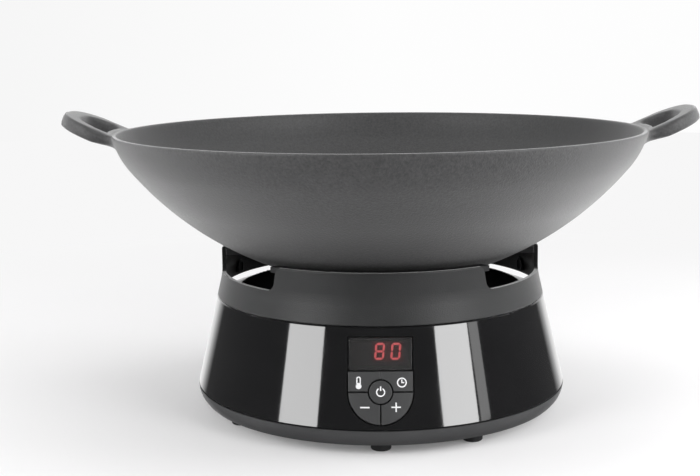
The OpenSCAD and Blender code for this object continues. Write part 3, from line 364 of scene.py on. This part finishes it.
# Screws: zinc-plated steel. Those of the housing are driven from below into the skirt's bosses,
# and the others hold the key frame, the boards, the fan and the coil's carrier to their posts.
screw_steel = grained_material("screw_steel", (0.52, 0.52, 0.53), (0.64, 0.64, 0.65), (0.25, 0.42),
                               1800, 0.00002, Metallic=1.0)
dress(screw_steel, "housing_screws", "frame_screws", "board_screws", "fan_screws", "power_screws",
      "carrier_screws")

# Skirt: the conical housing, injection moulded in black plastic and left with a deep polish.
# Its rear has the air outlets and a rubber gland that lines the cord's inlet.
gloss_black = grained_material("gloss_black", (0.004, 0.004, 0.0045), (0.006, 0.006, 0.0065),
                               (0.05, 0.09), 500, 0.000002, IOR=1.75, **{"Coat Weight": 1.0})
dress(gloss_black, "skirt_shell")
dress(rubber, "cord_gland")

# Display: a red seven-segment module on the control board. Around its two digits, a painted red glow
# lies on its dark face as emission.
digits_low, digits_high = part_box("display_digits")
digits_middle = [(a + b) / 2 for a, b in zip(digits_low, digits_high)]
DIGIT_GLOW, FACE_GLOW, GLOW_REACH = 1.35, 1.5, 0.0018

lit_digits = bpy.data.materials.new("lit_digits")
lit_digits.use_nodes = True
tree = lit_digits.node_tree
shader = tree.nodes["Principled BSDF"]
skin = add_node(tree, "ShaderNodeGroup", {"Grain Scale": 900.0, "Mottle Scale": 700.0}, node_tree=skin_grain)
tree.links.new(mottled(tree, skin, (0.42, 0.05, 0.05), (0.55, 0.08, 0.08)), shader.inputs["Base Color"])
tree.links.new(mottled(tree, skin, (0.90, 0.13, 0.14), (1.0, 0.19, 0.20)), shader.inputs["Emission Color"])
shader.inputs["Emission Strength"].default_value = DIGIT_GLOW
dress(lit_digits, "display_digits")

display_face = grained_material("display_face", (0.020, 0.018, 0.018), (0.026, 0.023, 0.023), (0.4, 0.5),
                                1200, 0.00002)
tree = display_face.node_tree
shader = tree.nodes["Principled BSDF"]
# Painted glow: dark red emission on the face that fades with the distance from the digits.
from_middle = add_node(tree, "ShaderNodeMapping", {
    "Vector": add_node(tree, "ShaderNodeTexCoord").outputs["Object"],
    "Location": [-c for c in digits_middle]}).outputs[0]
size = add_node(tree, "ShaderNodeVectorMath", {0: from_middle}, operation="ABSOLUTE").outputs[0]
beyond = add_node(tree, "ShaderNodeVectorMath", {
    0: size, 1: [(b - a) / 2 for a, b in zip(digits_low, digits_high)]}, operation="SUBTRACT").outputs[0]
outside = add_node(tree, "ShaderNodeVectorMath", {0: beyond, 1: (0, 0, 0)}, operation="MAXIMUM").outputs[0]
reach = add_node(tree, "ShaderNodeVectorMath", {0: outside}, operation="LENGTH").outputs["Value"]
glow = add_node(tree, "ShaderNodeMapRange", {
    "Value": reach, "From Max": GLOW_REACH, "To Min": 1.0, "To Max": 0.0},
    interpolation_type="SMOOTHSTEP").outputs[0]
glow_colour = add_node(tree, "ShaderNodeMix", {
    0: glow, 6: (0, 0, 0, 1), 7: (0.05, 0.004, 0.003, 1)}, data_type="RGBA")
tree.links.new(glow_colour.outputs[2], shader.inputs["Emission Color"])
shader.inputs["Emission Strength"].default_value = FACE_GLOW
dress(display_face, "display_module")

# Display window: a moulded pane of smoked clear plastic in the skirt's own curve. It lies flush
# with the skirt, on the frame behind the keys, and has a small bevel round its face.
LEAN = math.radians(13.5)
SKIRT_R, SKIRT_Z = 127.2, 17.4
PANEL_Z = 40.0
WINDOW_W, WINDOW_H, WINDOW_T, WINDOW_UP = 38.4, 19.7, 2.0, 23.05
WINDOW_ROUND, WINDOW_BEVEL = 0.8, 0.35
STRIP_W, WRAP_ROUNDS = 1.6, 6
RIM_ANGLE = math.radians(60)


def wall_radius(z):
    """Radius of the housing's outside at a height."""
    return SKIRT_R - (z - SKIRT_Z) * math.tan(LEAN)


def wrap_on_wall(bm):
    """Bends a flat shape onto the housing: x across, y up the wall, z out of it, from the power key."""
    half = max(abs(v.co.x) for v in bm.verts)
    for i in range(-int(half / STRIP_W), int(half / STRIP_W) + 1):
        bmesh.ops.bisect_plane(bm, geom=bm.verts[:] + bm.edges[:] + bm.faces[:], dist=1e-4,
                               plane_co=(i * STRIP_W, 0, 0), plane_no=(1, 0, 0))
    for v in bm.verts:
        x, rise, out = v.co
        push = 0.0
        for _ in range(WRAP_ROUNDS):
            y = -wall_radius(PANEL_Z) + rise * math.sin(LEAN) - push * math.cos(LEAN)
            z = PANEL_Z + rise * math.cos(LEAN) + push * math.sin(LEAN)
            push -= (math.hypot(x, y) - wall_radius(z) - out) * math.cos(LEAN)
        v.co = (x, y, z)


def raise_plate(bm, low, high, bevel=0.0):
    """Gives a flat outline at z = 0 a body from low to high, with a bevel round its outer face."""
    bmesh.ops.translate(bm, verts=bm.verts, vec=(0, 0, high))
    made = bmesh.ops.extrude_face_region(bm, geom=bm.faces[:])["geom"]
    bmesh.ops.translate(bm, verts=only_verts(made), vec=(0, 0, low - high))
    bmesh.ops.recalc_face_normals(bm, faces=bm.faces)
    if bevel:
        rim = [e for e in bm.edges if all(abs(v.co.z - high) < 1e-4 for v in e.verts)
               and e.calc_face_angle(0) > RIM_ANGLE]
        soften(bm, rim, bevel, 2)


smoked_window = grained_material("smoked_window", (0.36, 0.355, 0.355), (0.41, 0.405, 0.405), (0.02, 0.05),
                                 900, 0.000001, **{"Transmission Weight": 0.975})
bm = bmesh.new()
bmesh.ops.create_grid(bm, x_segments=1, y_segments=1, size=0.5)
bmesh.ops.scale(bm, vec=(WINDOW_W, WINDOW_H, 1), verts=bm.verts)
soften(bm, bm.verts[:], WINDOW_ROUND, 5, "VERTICES")
bmesh.ops.translate(bm, verts=bm.verts, vec=(0, WINDOW_UP, 0))
raise_plate(bm, -WINDOW_T, 0, WINDOW_BEVEL)
wrap_on_wall(bm)
make_piece("window_pane", bm, smoked_window, "base", ["display_window"], even=True)

# Keys: five caps in the skirt's curve, moulded in satin dark grey plastic, a round one in the middle
# of two upper and two lower ones. Each has a stem behind it that presses a switch.
POWER_R, KEY_GAP, KEY_T, KEY_BEVEL = 7.0, 0.8, 2.4, 0.4
FIELD_R, UPPER_TOP = 19.7, 12.4
UPPER_GAP = 0.05
STEM_R, STEM_START, STEM_END = 2.0, 2.2, 6.6
STEMS = {"temperature": (-14.0, 5.6), "timer": (13.0, 5.8), "power": (0.0, 0.0), "minus": (-10.0, -9.4),
         "plus": (9.6, -9.4)}
panel_frame = Matrix((
    (1, 0, 0, 0),
    (0, math.sin(LEAN), -math.cos(LEAN), -wall_radius(PANEL_Z)),
    (0, math.cos(LEAN), math.sin(LEAN), PANEL_Z),
    (0, 0, 0, 1),
))


def trace_arc(bm, radius, x0, y1, steps):
    """Vertices on an arc about the power key, from x0 beside the upright axis to y1 beside the level one."""
    first = math.acos(x0 / radius)
    start = bm.verts.new((x0, radius * math.sin(first), 0))
    count = len(bm.verts)
    spin(bm, [start], math.asin(y1 / radius) - first, steps)
    bm.verts.ensure_lookup_table()
    return [start] + bm.verts[count:]


def quarter_key(side, up):
    """A flat outline of an upper or lower key: the right upper one, turned over where it lies elsewhere."""
    bm = bmesh.new()
    middle = (UPPER_GAP if up > 0 else KEY_GAP) / 2
    ring = trace_arc(bm, POWER_R + KEY_GAP, middle, KEY_GAP / 2, 16)
    if up > 0:
        ring += [bm.verts.new((FIELD_R, KEY_GAP / 2, 0)), bm.verts.new((FIELD_R, UPPER_TOP, 0)),
                 bm.verts.new((middle, UPPER_TOP, 0))]
    else:
        ring += trace_arc(bm, FIELD_R, middle, KEY_GAP / 2, 24)[::-1]
    bm.faces.new(ring)
    bmesh.ops.scale(bm, vec=(side, up, 1), verts=bm.verts)
    return bm


key_plastic = grained_material("key_plastic", (0.044, 0.0445, 0.0455), (0.050, 0.0505, 0.0515), (0.40, 0.50),
                               1300, 0.00003)
for name, stem in STEMS.items():
    if name == "power":
        bm = bmesh.new()
        bmesh.ops.create_circle(bm, cap_ends=True, segments=64, radius=POWER_R)
    else:
        bm = quarter_key(math.copysign(1, stem[0]), math.copysign(1, stem[1]))
    raise_plate(bm, -KEY_T, 0, KEY_BEVEL)
    wrap_on_wall(bm)
    stem_place = panel_frame @ Matrix.Translation((*stem, -(STEM_START + STEM_END) / 2))
    bmesh.ops.create_cone(bm, cap_ends=True, segments=24, radius1=STEM_R, radius2=STEM_R,
                          depth=STEM_END - STEM_START, matrix=stem_place)
    make_piece("cap_" + name, bm, key_plastic, "key_" + name, ["key_" + name], even=True)

# Signs on the keys: white pad print, a few hundredths of a millimetre thick. They stand for power,
# timer, less, more and temperature, and move with their keys.
PRINT_LOW, PRINT_HIGH, RING_STEPS = -0.02, 0.05, 36
RING_OUT, RING_IN, RING_GAP = 2.8, 2.02, math.radians(30)
POWER_BAR_W, POWER_BAR_H, POWER_BAR_Y = 0.8, 2.9, 2.15
CLOCK_X, CLOCK_Y, CLOCK_IN, CLOCK_OUT = 12.9, 5.75, 2.25, 3.0
HAND_W, LONG_HAND, LONG_HAND_UP = 0.7, 2.25, 0.75
SHORT_HAND, SHORT_HAND_X, SHORT_HAND_UP = 1.1, 0.9, -0.03
MINUS_X, MINUS_Y, MINUS_W = -9.6, -9.2, 5.7
PLUS_X, PLUS_Y, PLUS_ARM = 9.3, -9.1, 2.42
BAR_STROKE = 0.85
TUBE_X, TUBE_HALF_W, TUBE_TOP, TUBE_LEG, TUBE_STROKE = -13.3, 1.38, 9.5, 2.7, 0.72
BULB_Y, BULB_R, MERCURY_H, MERCURY_UP = 3.6, 1.75, 1.6, 1.3
sign_print = grained_material("sign_print", (0.78, 0.78, 0.79), (0.86, 0.86, 0.87), (0.45, 0.55),
                              1500, 0.00001)


def print_ring(bm, inner, outer, start, angle, x, y):
    """A flat ring, or a part of one, about a place: an edge spun round it."""
    ends = [bm.verts.new((x + r * math.cos(start), y + r * math.sin(start), 0)) for r in (inner, outer)]
    edge = bm.edges.new(ends)
    spin(bm, ends + [edge], angle, RING_STEPS, (x, y, 0))
    bmesh.ops.remove_doubles(bm, verts=bm.verts, dist=0.001)


def print_bar(bm, w, h, x, y):
    """A flat bar about a place."""
    bmesh.ops.create_grid(bm, x_segments=1, y_segments=1, size=0.5,
                          matrix=Matrix.Translation((x, y, 0)) @ Matrix.Diagonal((w, h, 1, 1)))


def make_sign(name, bm):
    """Wraps a flat sign onto its key and prints it there."""
    bmesh.ops.recalc_face_normals(bm, faces=bm.faces)
    raise_plate(bm, PRINT_LOW, PRINT_HIGH)
    wrap_on_wall(bm)
    make_piece("sign_" + name, bm, sign_print, "key_" + name)


bm = bmesh.new()
print_ring(bm, RING_IN, RING_OUT, math.pi / 2 + RING_GAP, 2 * (math.pi - RING_GAP), 0, 0)
print_bar(bm, POWER_BAR_W, POWER_BAR_H, 0, POWER_BAR_Y)
make_sign("power", bm)
bm = bmesh.new()
print_ring(bm, CLOCK_IN, CLOCK_OUT, 0, 2 * math.pi, CLOCK_X, CLOCK_Y)
print_bar(bm, HAND_W, LONG_HAND, CLOCK_X, CLOCK_Y + LONG_HAND_UP)
print_bar(bm, SHORT_HAND, HAND_W, CLOCK_X + SHORT_HAND_X, CLOCK_Y + SHORT_HAND_UP)
make_sign("timer", bm)
bm = bmesh.new()
print_bar(bm, MINUS_W, BAR_STROKE, MINUS_X, MINUS_Y)
make_sign("minus", bm)
bm = bmesh.new()
print_bar(bm, BAR_STROKE, BAR_STROKE, PLUS_X, PLUS_Y)
for edge in bm.edges[:]:
    middle = (edge.verts[0].co + edge.verts[1].co) / 2 - Vector((PLUS_X, PLUS_Y, 0))
    arm = bmesh.ops.extrude_edge_only(bm, edges=[edge])["geom"]
    bmesh.ops.translate(bm, verts=only_verts(arm), vec=middle.normalized() * PLUS_ARM)
make_sign("plus", bm)
bm = bmesh.new()
print_ring(bm, TUBE_HALF_W - TUBE_STROKE, TUBE_HALF_W, 0, math.pi, TUBE_X, TUBE_TOP - TUBE_HALF_W)
ends = [e for e in bm.edges if all(abs(v.co.y - TUBE_TOP + TUBE_HALF_W) < 1e-4 for v in e.verts)]
legs = bmesh.ops.extrude_edge_only(bm, edges=ends)["geom"]
bmesh.ops.translate(bm, verts=only_verts(legs), vec=(0, -TUBE_LEG, 0))
print_ring(bm, 0.0, BULB_R, 0, 2 * math.pi, TUBE_X, BULB_Y)
print_bar(bm, 2 * TUBE_HALF_W, MERCURY_H, TUBE_X, BULB_Y + MERCURY_UP)
make_sign("temperature", bm)

# Collar: the matte upper ring, moulded in dark grey plastic and snapped into the skirt's top.
# Its wall turns upright above a soft bend, and three notches leave room for air and fingers.
SEAM_Z, COLLAR_TOP, COLLAR_BEND_Z = 78.6, 110.5, 93.6
COLLAR_WALL, LEDGE_TOP, LEDGE_Z = 2.5, 77.0, 74.5
LEDGE_R, SPIGOT_R, SPIGOT_INSET = 88.0, 107.56, 2.75
SHOULDER_RISE = 3.0
NOTCH_AZIMUTHS = (60, 180, 300)
NOTCH_HALF_W, NOTCH_FLARE, NOTCH_DEPTH, NOTCH_ROUND, NOTCH_EASE = 40.5, 2.5, 15.4, 4.6, 2.2
VENT_AZIMUTHS, VENT_ANGLE, VENT_R, VENT_H = (120, 240), math.radians(56), 102.4, 5.0
STUD_AZIMUTHS, STUD_Z, STUD_R, STUD_H = (76, 108, 252, 284), 88.5, 5.0, 2.0
STUD_RING, STUD_SLOPE, STUD_DISH = 1.4, 0.25, 0.7
EDGE_ROUND, EDGE_ANGLE = 0.55, math.radians(55)
SEAM_ROUND, BEND_ROUND, TOP_ROUND, LIP_ROUND, INNER_BEND_ROUND = 0.5, 4.0, 0.9, 0.6, 3.0
collar_r = wall_radius(COLLAR_BEND_Z)
bm = spin_profile(
    [(LEDGE_R, LEDGE_Z), (wall_radius(LEDGE_Z) - SPIGOT_INSET, LEDGE_Z),
     (wall_radius(SEAM_Z) - SPIGOT_INSET, SEAM_Z), (wall_radius(SEAM_Z), SEAM_Z),
     (collar_r, COLLAR_BEND_Z), (collar_r, COLLAR_TOP),
     (collar_r - COLLAR_WALL, COLLAR_TOP), (collar_r - COLLAR_WALL, COLLAR_BEND_Z),
     (wall_radius(SEAM_Z + SHOULDER_RISE) - COLLAR_WALL, SEAM_Z + SHOULDER_RISE), (SPIGOT_R, SEAM_Z),
     (SPIGOT_R, LEDGE_TOP), (LEDGE_R, LEDGE_TOP)],
    rounds=[(3, SEAM_ROUND), (4, BEND_ROUND), (5, TOP_ROUND), (6, LIP_ROUND), (7, INNER_BEND_ROUND)],
    steps=180, closed=True)


def join(whole, part):
    """Moves a part into a larger mesh."""
    mesh = bpy.data.meshes.new("part")
    part.to_mesh(mesh)
    part.free()
    whole.from_mesh(mesh)
    bpy.data.meshes.remove(mesh)


def cut_away(bm, cutters):
    """What is left of a closed mesh when closed cutters are taken out of it."""
    objects = []
    for name, source in (("whole", bm), ("cutters", cutters)):
        mesh = bpy.data.meshes.new(name)
        source.to_mesh(mesh)
        source.free()
        objects.append(bpy.data.objects.new(name, mesh))
        scene.collection.objects.link(objects[-1])
    cut = objects[0].modifiers.new("cut", "BOOLEAN")
    cut.operation, cut.solver, cut.object = "DIFFERENCE", "EXACT", objects[1]
    left = bpy.data.meshes.new_from_object(objects[0].evaluated_get(bpy.context.evaluated_depsgraph_get()))
    for item in objects:
        bpy.data.meshes.remove(item.data)
    rest = bmesh.new()
    rest.from_mesh(left)
    bpy.data.meshes.remove(left)
    bmesh.ops.remove_doubles(rest, verts=rest.verts, dist=0.002)
    return rest


cutters = bmesh.new()
for azimuth in NOTCH_AZIMUTHS:
    foot, head = NOTCH_HALF_W, NOTCH_HALF_W + NOTCH_FLARE
    half = [(foot, -NOTCH_DEPTH), (head, -NOTCH_EASE), (head + 3 * NOTCH_EASE, 2 * NOTCH_EASE)]
    notch = bmesh.new()
    outline = half + [(-x, z) for x, z in half[::-1]]
    corners = [notch.verts.new((x, -collar_r / 2, COLLAR_TOP + z)) for x, z in outline]
    notch.faces.new(corners)
    for number, radius in ((0, NOTCH_ROUND), (5, NOTCH_ROUND), (1, NOTCH_EASE), (4, NOTCH_EASE)):
        soften(notch, [corners[number]], radius, 6, "VERTICES")
    block = bmesh.ops.extrude_face_region(notch, geom=notch.faces[:])["geom"]
    bmesh.ops.translate(notch, verts=only_verts(block), vec=(0, -collar_r, 0))
    bmesh.ops.recalc_face_normals(notch, faces=notch.faces)
    turn_to(notch, notch.verts, azimuth)
    join(cutters, notch)
bm = cut_away(bm, cutters)
vents = bmesh.new()
for azimuth in VENT_AZIMUTHS:
    slot = spin_profile([(VENT_R, LEDGE_TOP), (SKIRT_R, LEDGE_TOP), (SKIRT_R, LEDGE_TOP + VENT_H),
                         (VENT_R, LEDGE_TOP + VENT_H)], steps=40, angle=VENT_ANGLE, closed=True)
    turn_to(slot, slot.verts, azimuth - 90 - math.degrees(VENT_ANGLE) / 2)
    join(vents, slot)
bm = cut_away(bm, vents)
edges = [e for e in bm.edges if len(e.link_faces) == 2 and e.calc_face_angle() > EDGE_ANGLE
         and min(v.co.z for v in e.verts) > COLLAR_BEND_Z]
soften(bm, edges, EDGE_ROUND, 2, clamp=True)
stud_depth = STUD_H + COLLAR_WALL / 2
for azimuth in STUD_AZIMUTHS:
    reach = wall_radius(STUD_Z) - COLLAR_WALL - STUD_H + stud_depth / 2
    stud_place = Matrix.Translation((0, -reach, STUD_Z)) @ Matrix.Rotation(math.pi / 2, 4, "X")
    stud = bmesh.ops.create_cone(bm, cap_ends=True, segments=40, radius1=STUD_R, radius2=STUD_R,
                                 depth=stud_depth, matrix=stud_place)["verts"]
    front = max((f for v in stud for f in v.link_faces), key=lambda f: f.calc_center_median().y)
    ring = bmesh.ops.inset_region(bm, faces=[front], thickness=STUD_RING, depth=0.0)["faces"]
    bmesh.ops.inset_region(bm, faces=[front], thickness=STUD_SLOPE, depth=-STUD_DISH)
    turn_to(bm, list(set(stud) | {v for f in ring + [front] for v in f.verts}), azimuth)
collar_plastic = grained_material("collar_plastic", (0.019, 0.0195, 0.0200), (0.024, 0.0245, 0.0250),
                                  (0.42, 0.50), 1500, 0.00005, IOR=1.42,
                                  **{"Sheen Weight": 0.55, "Sheen Roughness": 0.4})
make_piece("notched_collar", bm, collar_plastic, "base", ["collar"], even=True)

# Plate and seal: a disc of polished black glass ceramic under the wok. It lies on the collar's
# ledge, and a silicone ring seals its edge.
glass_ceramic = grained_material("glass_ceramic", (0.005, 0.005, 0.006), (0.007, 0.007, 0.008), (0.05, 0.08),
                                 600, 0.000001)
dress(glass_ceramic, "glass_plate")
dress(rubber, "glass_seal")

# Wok pads: three moulded rubber strips on the inside of the collar's raised parts. Their tops are
# hollowed to the wok that stands on them, and their ends reach a little into the notches.
BOWL_R, BOWL_Z = 216.6, 302.58
PAD_ANGLE, PAD_TOP, PAD_H, PAD_REACH = math.radians(81), 110.0, 4.0, 4.5
PAD_FIT, WOK_CLEAR, PAD_EDGE = 0.15, 0.3, 0.4
PAD_FRONT_ROUND, PAD_BACK_ROUND = 0.5, 0.6
PAD_AZIMUTHS = (0, 120, 240)
touch_r = math.sqrt(BOWL_R ** 2 - (BOWL_Z - PAD_TOP) ** 2)
pad_back = collar_r - COLLAR_WALL - PAD_FIT
hollow = [touch_r - PAD_REACH * i / 4 for i in range(5)]
pad_profile = [(touch_r - PAD_REACH, PAD_TOP - PAD_H), (pad_back, PAD_TOP - PAD_H), (pad_back, PAD_TOP)]
pad_profile += [(r, BOWL_Z - math.sqrt((BOWL_R + WOK_CLEAR) ** 2 - r ** 2)) for r in hollow]
pads = bmesh.new()
for azimuth in PAD_AZIMUTHS:
    strip = spin_profile(
        pad_profile, rounds=[(0, PAD_FRONT_ROUND), (1, PAD_BACK_ROUND), (2, PAD_BACK_ROUND)], steps=48,
        angle=PAD_ANGLE, closed=True)
    rim = [e for e in strip.edges if len(e.link_faces) == 2 and e.calc_face_angle() > RIM_ANGLE]
    soften(strip, rim, PAD_EDGE, 2)
    turn_to(strip, strip.verts, azimuth - 90 - math.degrees(PAD_ANGLE) / 2)
    join(pads, strip)
make_piece("pad_strips", pads, rubber, "base", ["wok_pads"], even=True)

# Wok: one iron casting, a bowl with a loop handle on either side, matte from the sand of the mould.
# Its outside is a sphere that turns up in a tighter shoulder to the rim.
BOWL_WALL, RIM_ROUND = 4.0, 0.9
RIM_R, RIM_Z, SHOULDER_R = 180.0, 189.98, 60.0
rim_reach = math.hypot(RIM_R, RIM_Z - BOWL_Z)
shoulder_reach = BOWL_R - SHOULDER_R
along = (rim_reach ** 2 + shoulder_reach ** 2 - SHOULDER_R ** 2) / (2 * rim_reach)
across = math.sqrt(shoulder_reach ** 2 - along ** 2)
shoulder_x = (along * RIM_R + across * (RIM_Z - BOWL_Z)) / rim_reach
shoulder_z = BOWL_Z + (along * (RIM_Z - BOWL_Z) - across * RIM_R) / rim_reach
meet = math.atan2(shoulder_x, BOWL_Z - shoulder_z)
POLE_R = 6.0
BOWL_ROWS, SHOULDER_ROWS = 15, 4
HANDLE_ROOT = (173.0, 182.88)
HANDLE_TILT = math.radians(23)
ROOT_LEN, ARM_STRAIGHT, CORNER_R, ARM_Y = 13.0, 19.0, 20.0, 27.5
ARM_HALF_W, ARM_HALF_T, ROOT_HALF_T = 6.2, 4.4, 3.6
BAND_Z, BAND_DEPTH = 181.6, 3.2
SLOT_STEPS, ARM_STEPS, WALL_STEPS, BEND_STEPS = 3, 2, 20, 4
EDGE_CREASE, CREASE_START = 0.35, 0.8


def bowl_rows(inset):
    """Points (radius, height) up the bowl's curve and its shoulder, on a wall drawn in by an inset."""
    rows = []
    first = math.asin(POLE_R / BOWL_R)
    for i in range(BOWL_ROWS + 1):
        a = first + (meet - first) * i / BOWL_ROWS
        rows.append(((BOWL_R - inset) * math.sin(a), BOWL_Z - (BOWL_R - inset) * math.cos(a)))
    r = SHOULDER_R - inset
    last = math.acos((shoulder_z - RIM_Z + RIM_ROUND) / r)
    band = math.acos((shoulder_z - BAND_Z) / r)
    for i in range(1, SHOULDER_ROWS + 1):
        a = meet + (band - meet) * i / SHOULDER_ROWS
        rows.append((shoulder_x + r * math.sin(a), shoulder_z - r * math.cos(a)))
    rows.append((shoulder_x + r * math.sin(last), shoulder_z - r * math.cos(last)))
    return rows


def handle_point(u, y, w):
    """A point of the right handle: u outwards along its slope, y across, w square to its plane."""
    return Vector((HANDLE_ROOT[0] + u * math.cos(HANDLE_TILT) - w * math.sin(HANDLE_TILT), y,
                   HANDLE_ROOT[1] + u * math.sin(HANDLE_TILT) + w * math.cos(HANDLE_TILT)))


bm = bmesh.new()
outer_rows, inner_rows = bowl_rows(0), bowl_rows(BOWL_WALL)
rim_rows = [(RIM_R - RIM_ROUND, RIM_Z), (RIM_R - BOWL_WALL + RIM_ROUND, RIM_Z)]
profile = outer_rows + rim_rows + inner_rows[::-1]
row_verts = [bm.verts.new((r, 0, z)) for r, z in profile]
last = row_verts + [bm.edges.new(pair) for pair in zip(row_verts, row_verts[1:])]
slot_turn = math.asin((ARM_Y - ARM_HALF_W) / RIM_R)
arm_turn = math.asin((ARM_Y + ARM_HALF_W) / RIM_R) - slot_turn
wall_turn = math.pi / 2 - slot_turn - arm_turn
for turn, steps in ((slot_turn, SLOT_STEPS), (arm_turn, ARM_STEPS), (wall_turn, WALL_STEPS)):
    last = spin(bm, last, turn, steps)

# The handle grows out of the band under the rim: a root plate, then an arm that bends to the middle.
band_top, band_low = len(outer_rows) - 1, len(outer_rows) - 2
z_top, z_low = profile[band_top][1], profile[band_low][1]


def in_band(face):
    """True for a face of the outer wall's band that the handle grows from."""
    middle = face.calc_center_median()
    outside = math.hypot(middle.x, middle.y) > RIM_R - BAND_DEPTH
    return outside and z_low < middle.z < z_top and math.atan2(middle.y, middle.x) < slot_turn + arm_turn


def grow(faces):
    """Extrudes faces, deletes the old ones, and gives the new faces and their vertices."""
    made = bmesh.ops.extrude_face_region(bm, geom=faces)["geom"]
    bmesh.ops.delete(bm, geom=faces, context="FACES_ONLY")
    ends = [g for g in made if isinstance(g, bmesh.types.BMFace)]
    return ends, list({v for f in ends for v in f.verts})


root_faces = [f for f in bm.faces if in_band(f)]
ends, verts = grow(root_faces)
for v in verts:
    y = RIM_R * math.sin(math.atan2(v.co.y, v.co.x))
    thick = ARM_HALF_T if y > ARM_Y - ARM_HALF_W - 1 else ROOT_HALF_T
    v.co = handle_point(ROOT_LEN, y, thick if v.co.z > (z_top + z_low) / 2 else -thick)
arm = [f for f in ends if f.calc_center_median().y > ARM_Y - ARM_HALF_W]
arm, verts = grow(arm)
bmesh.ops.translate(bm, verts=verts, vec=handle_point(ARM_STRAIGHT, 0, 0) - handle_point(ROOT_LEN, 0, 0))
slope = (handle_point(0, 0, 1) - handle_point(0, 0, 0)).normalized()
bend = handle_point(ARM_STRAIGHT, ARM_Y - CORNER_R, 0)
for _ in range(BEND_STEPS):
    arm, verts = grow(arm)
    bmesh.ops.rotate(bm, verts=verts, cent=bend,
                     matrix=Matrix.Rotation(-math.pi / 2 / BEND_STEPS, 3, slope))
for v in grow(arm)[1]:
    v.co.y = 0
flat = [f for f in bm.faces if all(abs(v.co.y) < 1e-4 for v in f.verts)
        or all(abs(v.co.x) < 1e-4 for v in f.verts)]
bmesh.ops.delete(bm, geom=flat, context="FACES_ONLY")
loose = [e for e in bm.edges if not e.link_faces]
bmesh.ops.delete(bm, geom=loose, context="EDGES")
for axis in ("X", "Y"):
    bmesh.ops.mirror(bm, geom=bm.verts[:] + bm.edges[:] + bm.faces[:], matrix=Matrix.Identity(4),
                     merge_dist=0.01, axis=axis)
bmesh.ops.holes_fill(bm, edges=[e for e in bm.edges if e.is_boundary], sides=0)
bmesh.ops.recalc_face_normals(bm, faces=bm.faces)
crease = bm.edges.layers.float.new("crease_edge")
for e in bm.edges:
    outside = all(abs(v.co.x) > HANDLE_ROOT[0] + ROOT_LEN * CREASE_START for v in e.verts)
    if outside and len(e.link_faces) == 2 and e.calc_face_angle() > EDGE_ANGLE:
        e[crease] = EDGE_CREASE
cast_iron = grained_material("cast_iron", (0.026, 0.026, 0.027), (0.058, 0.058, 0.059), (0.44, 0.60),
                             1000, 0.00009, mottle_scale=620, IOR=1.55, **{"Sheen Roughness": 0.5})

# Painted shade: towards the bottom, where the collar and the pads shade the wok, the casting's colour is
# darkened and its dusty sheen is lowered.
PAINTED_SHADE_LOW, PAINTED_SHADE_HIGH, PAINTED_SHADE_MOST = 0.112, 0.160, 0.95
BLOOM_LOW, BLOOM_HIGH, BLOOM_LEAST, BLOOM_MOST = 0.113, 0.142, 0.06, 0.42
tree = cast_iron.node_tree
shader = tree.nodes["Principled BSDF"]
casting = shader.inputs["Base Color"].links[0].from_socket
height = add_node(tree, "ShaderNodeSeparateXYZ", {
    0: add_node(tree, "ShaderNodeTexCoord").outputs["Object"]}).outputs["Z"]
# Painted shade: masks by height that darken the casting's colour and lower its sheen towards the bottom.
painted_shade = add_node(tree, "ShaderNodeMapRange", {
    "Value": height, "From Min": PAINTED_SHADE_LOW, "From Max": PAINTED_SHADE_HIGH,
    "To Min": PAINTED_SHADE_MOST, "To Max": 0.0}).outputs[0]
dust_sheen_and_shade = add_node(tree, "ShaderNodeMapRange", {
    "Value": height, "From Min": BLOOM_LOW, "From Max": BLOOM_HIGH,
    "To Min": BLOOM_LEAST, "To Max": BLOOM_MOST}).outputs[0]
tree.links.new(dust_sheen_and_shade, shader.inputs["Sheen Weight"])
shaded_casting = add_node(tree, "ShaderNodeMix", {
    0: painted_shade, 6: casting, 7: (0.006, 0.006, 0.0063, 1)}, data_type="RGBA")
tree.links.new(shaded_casting.outputs[2], shader.inputs["Base Color"])
make_piece("cast_wok", bm, cast_iron, "wok", ["wok"], levels=2)
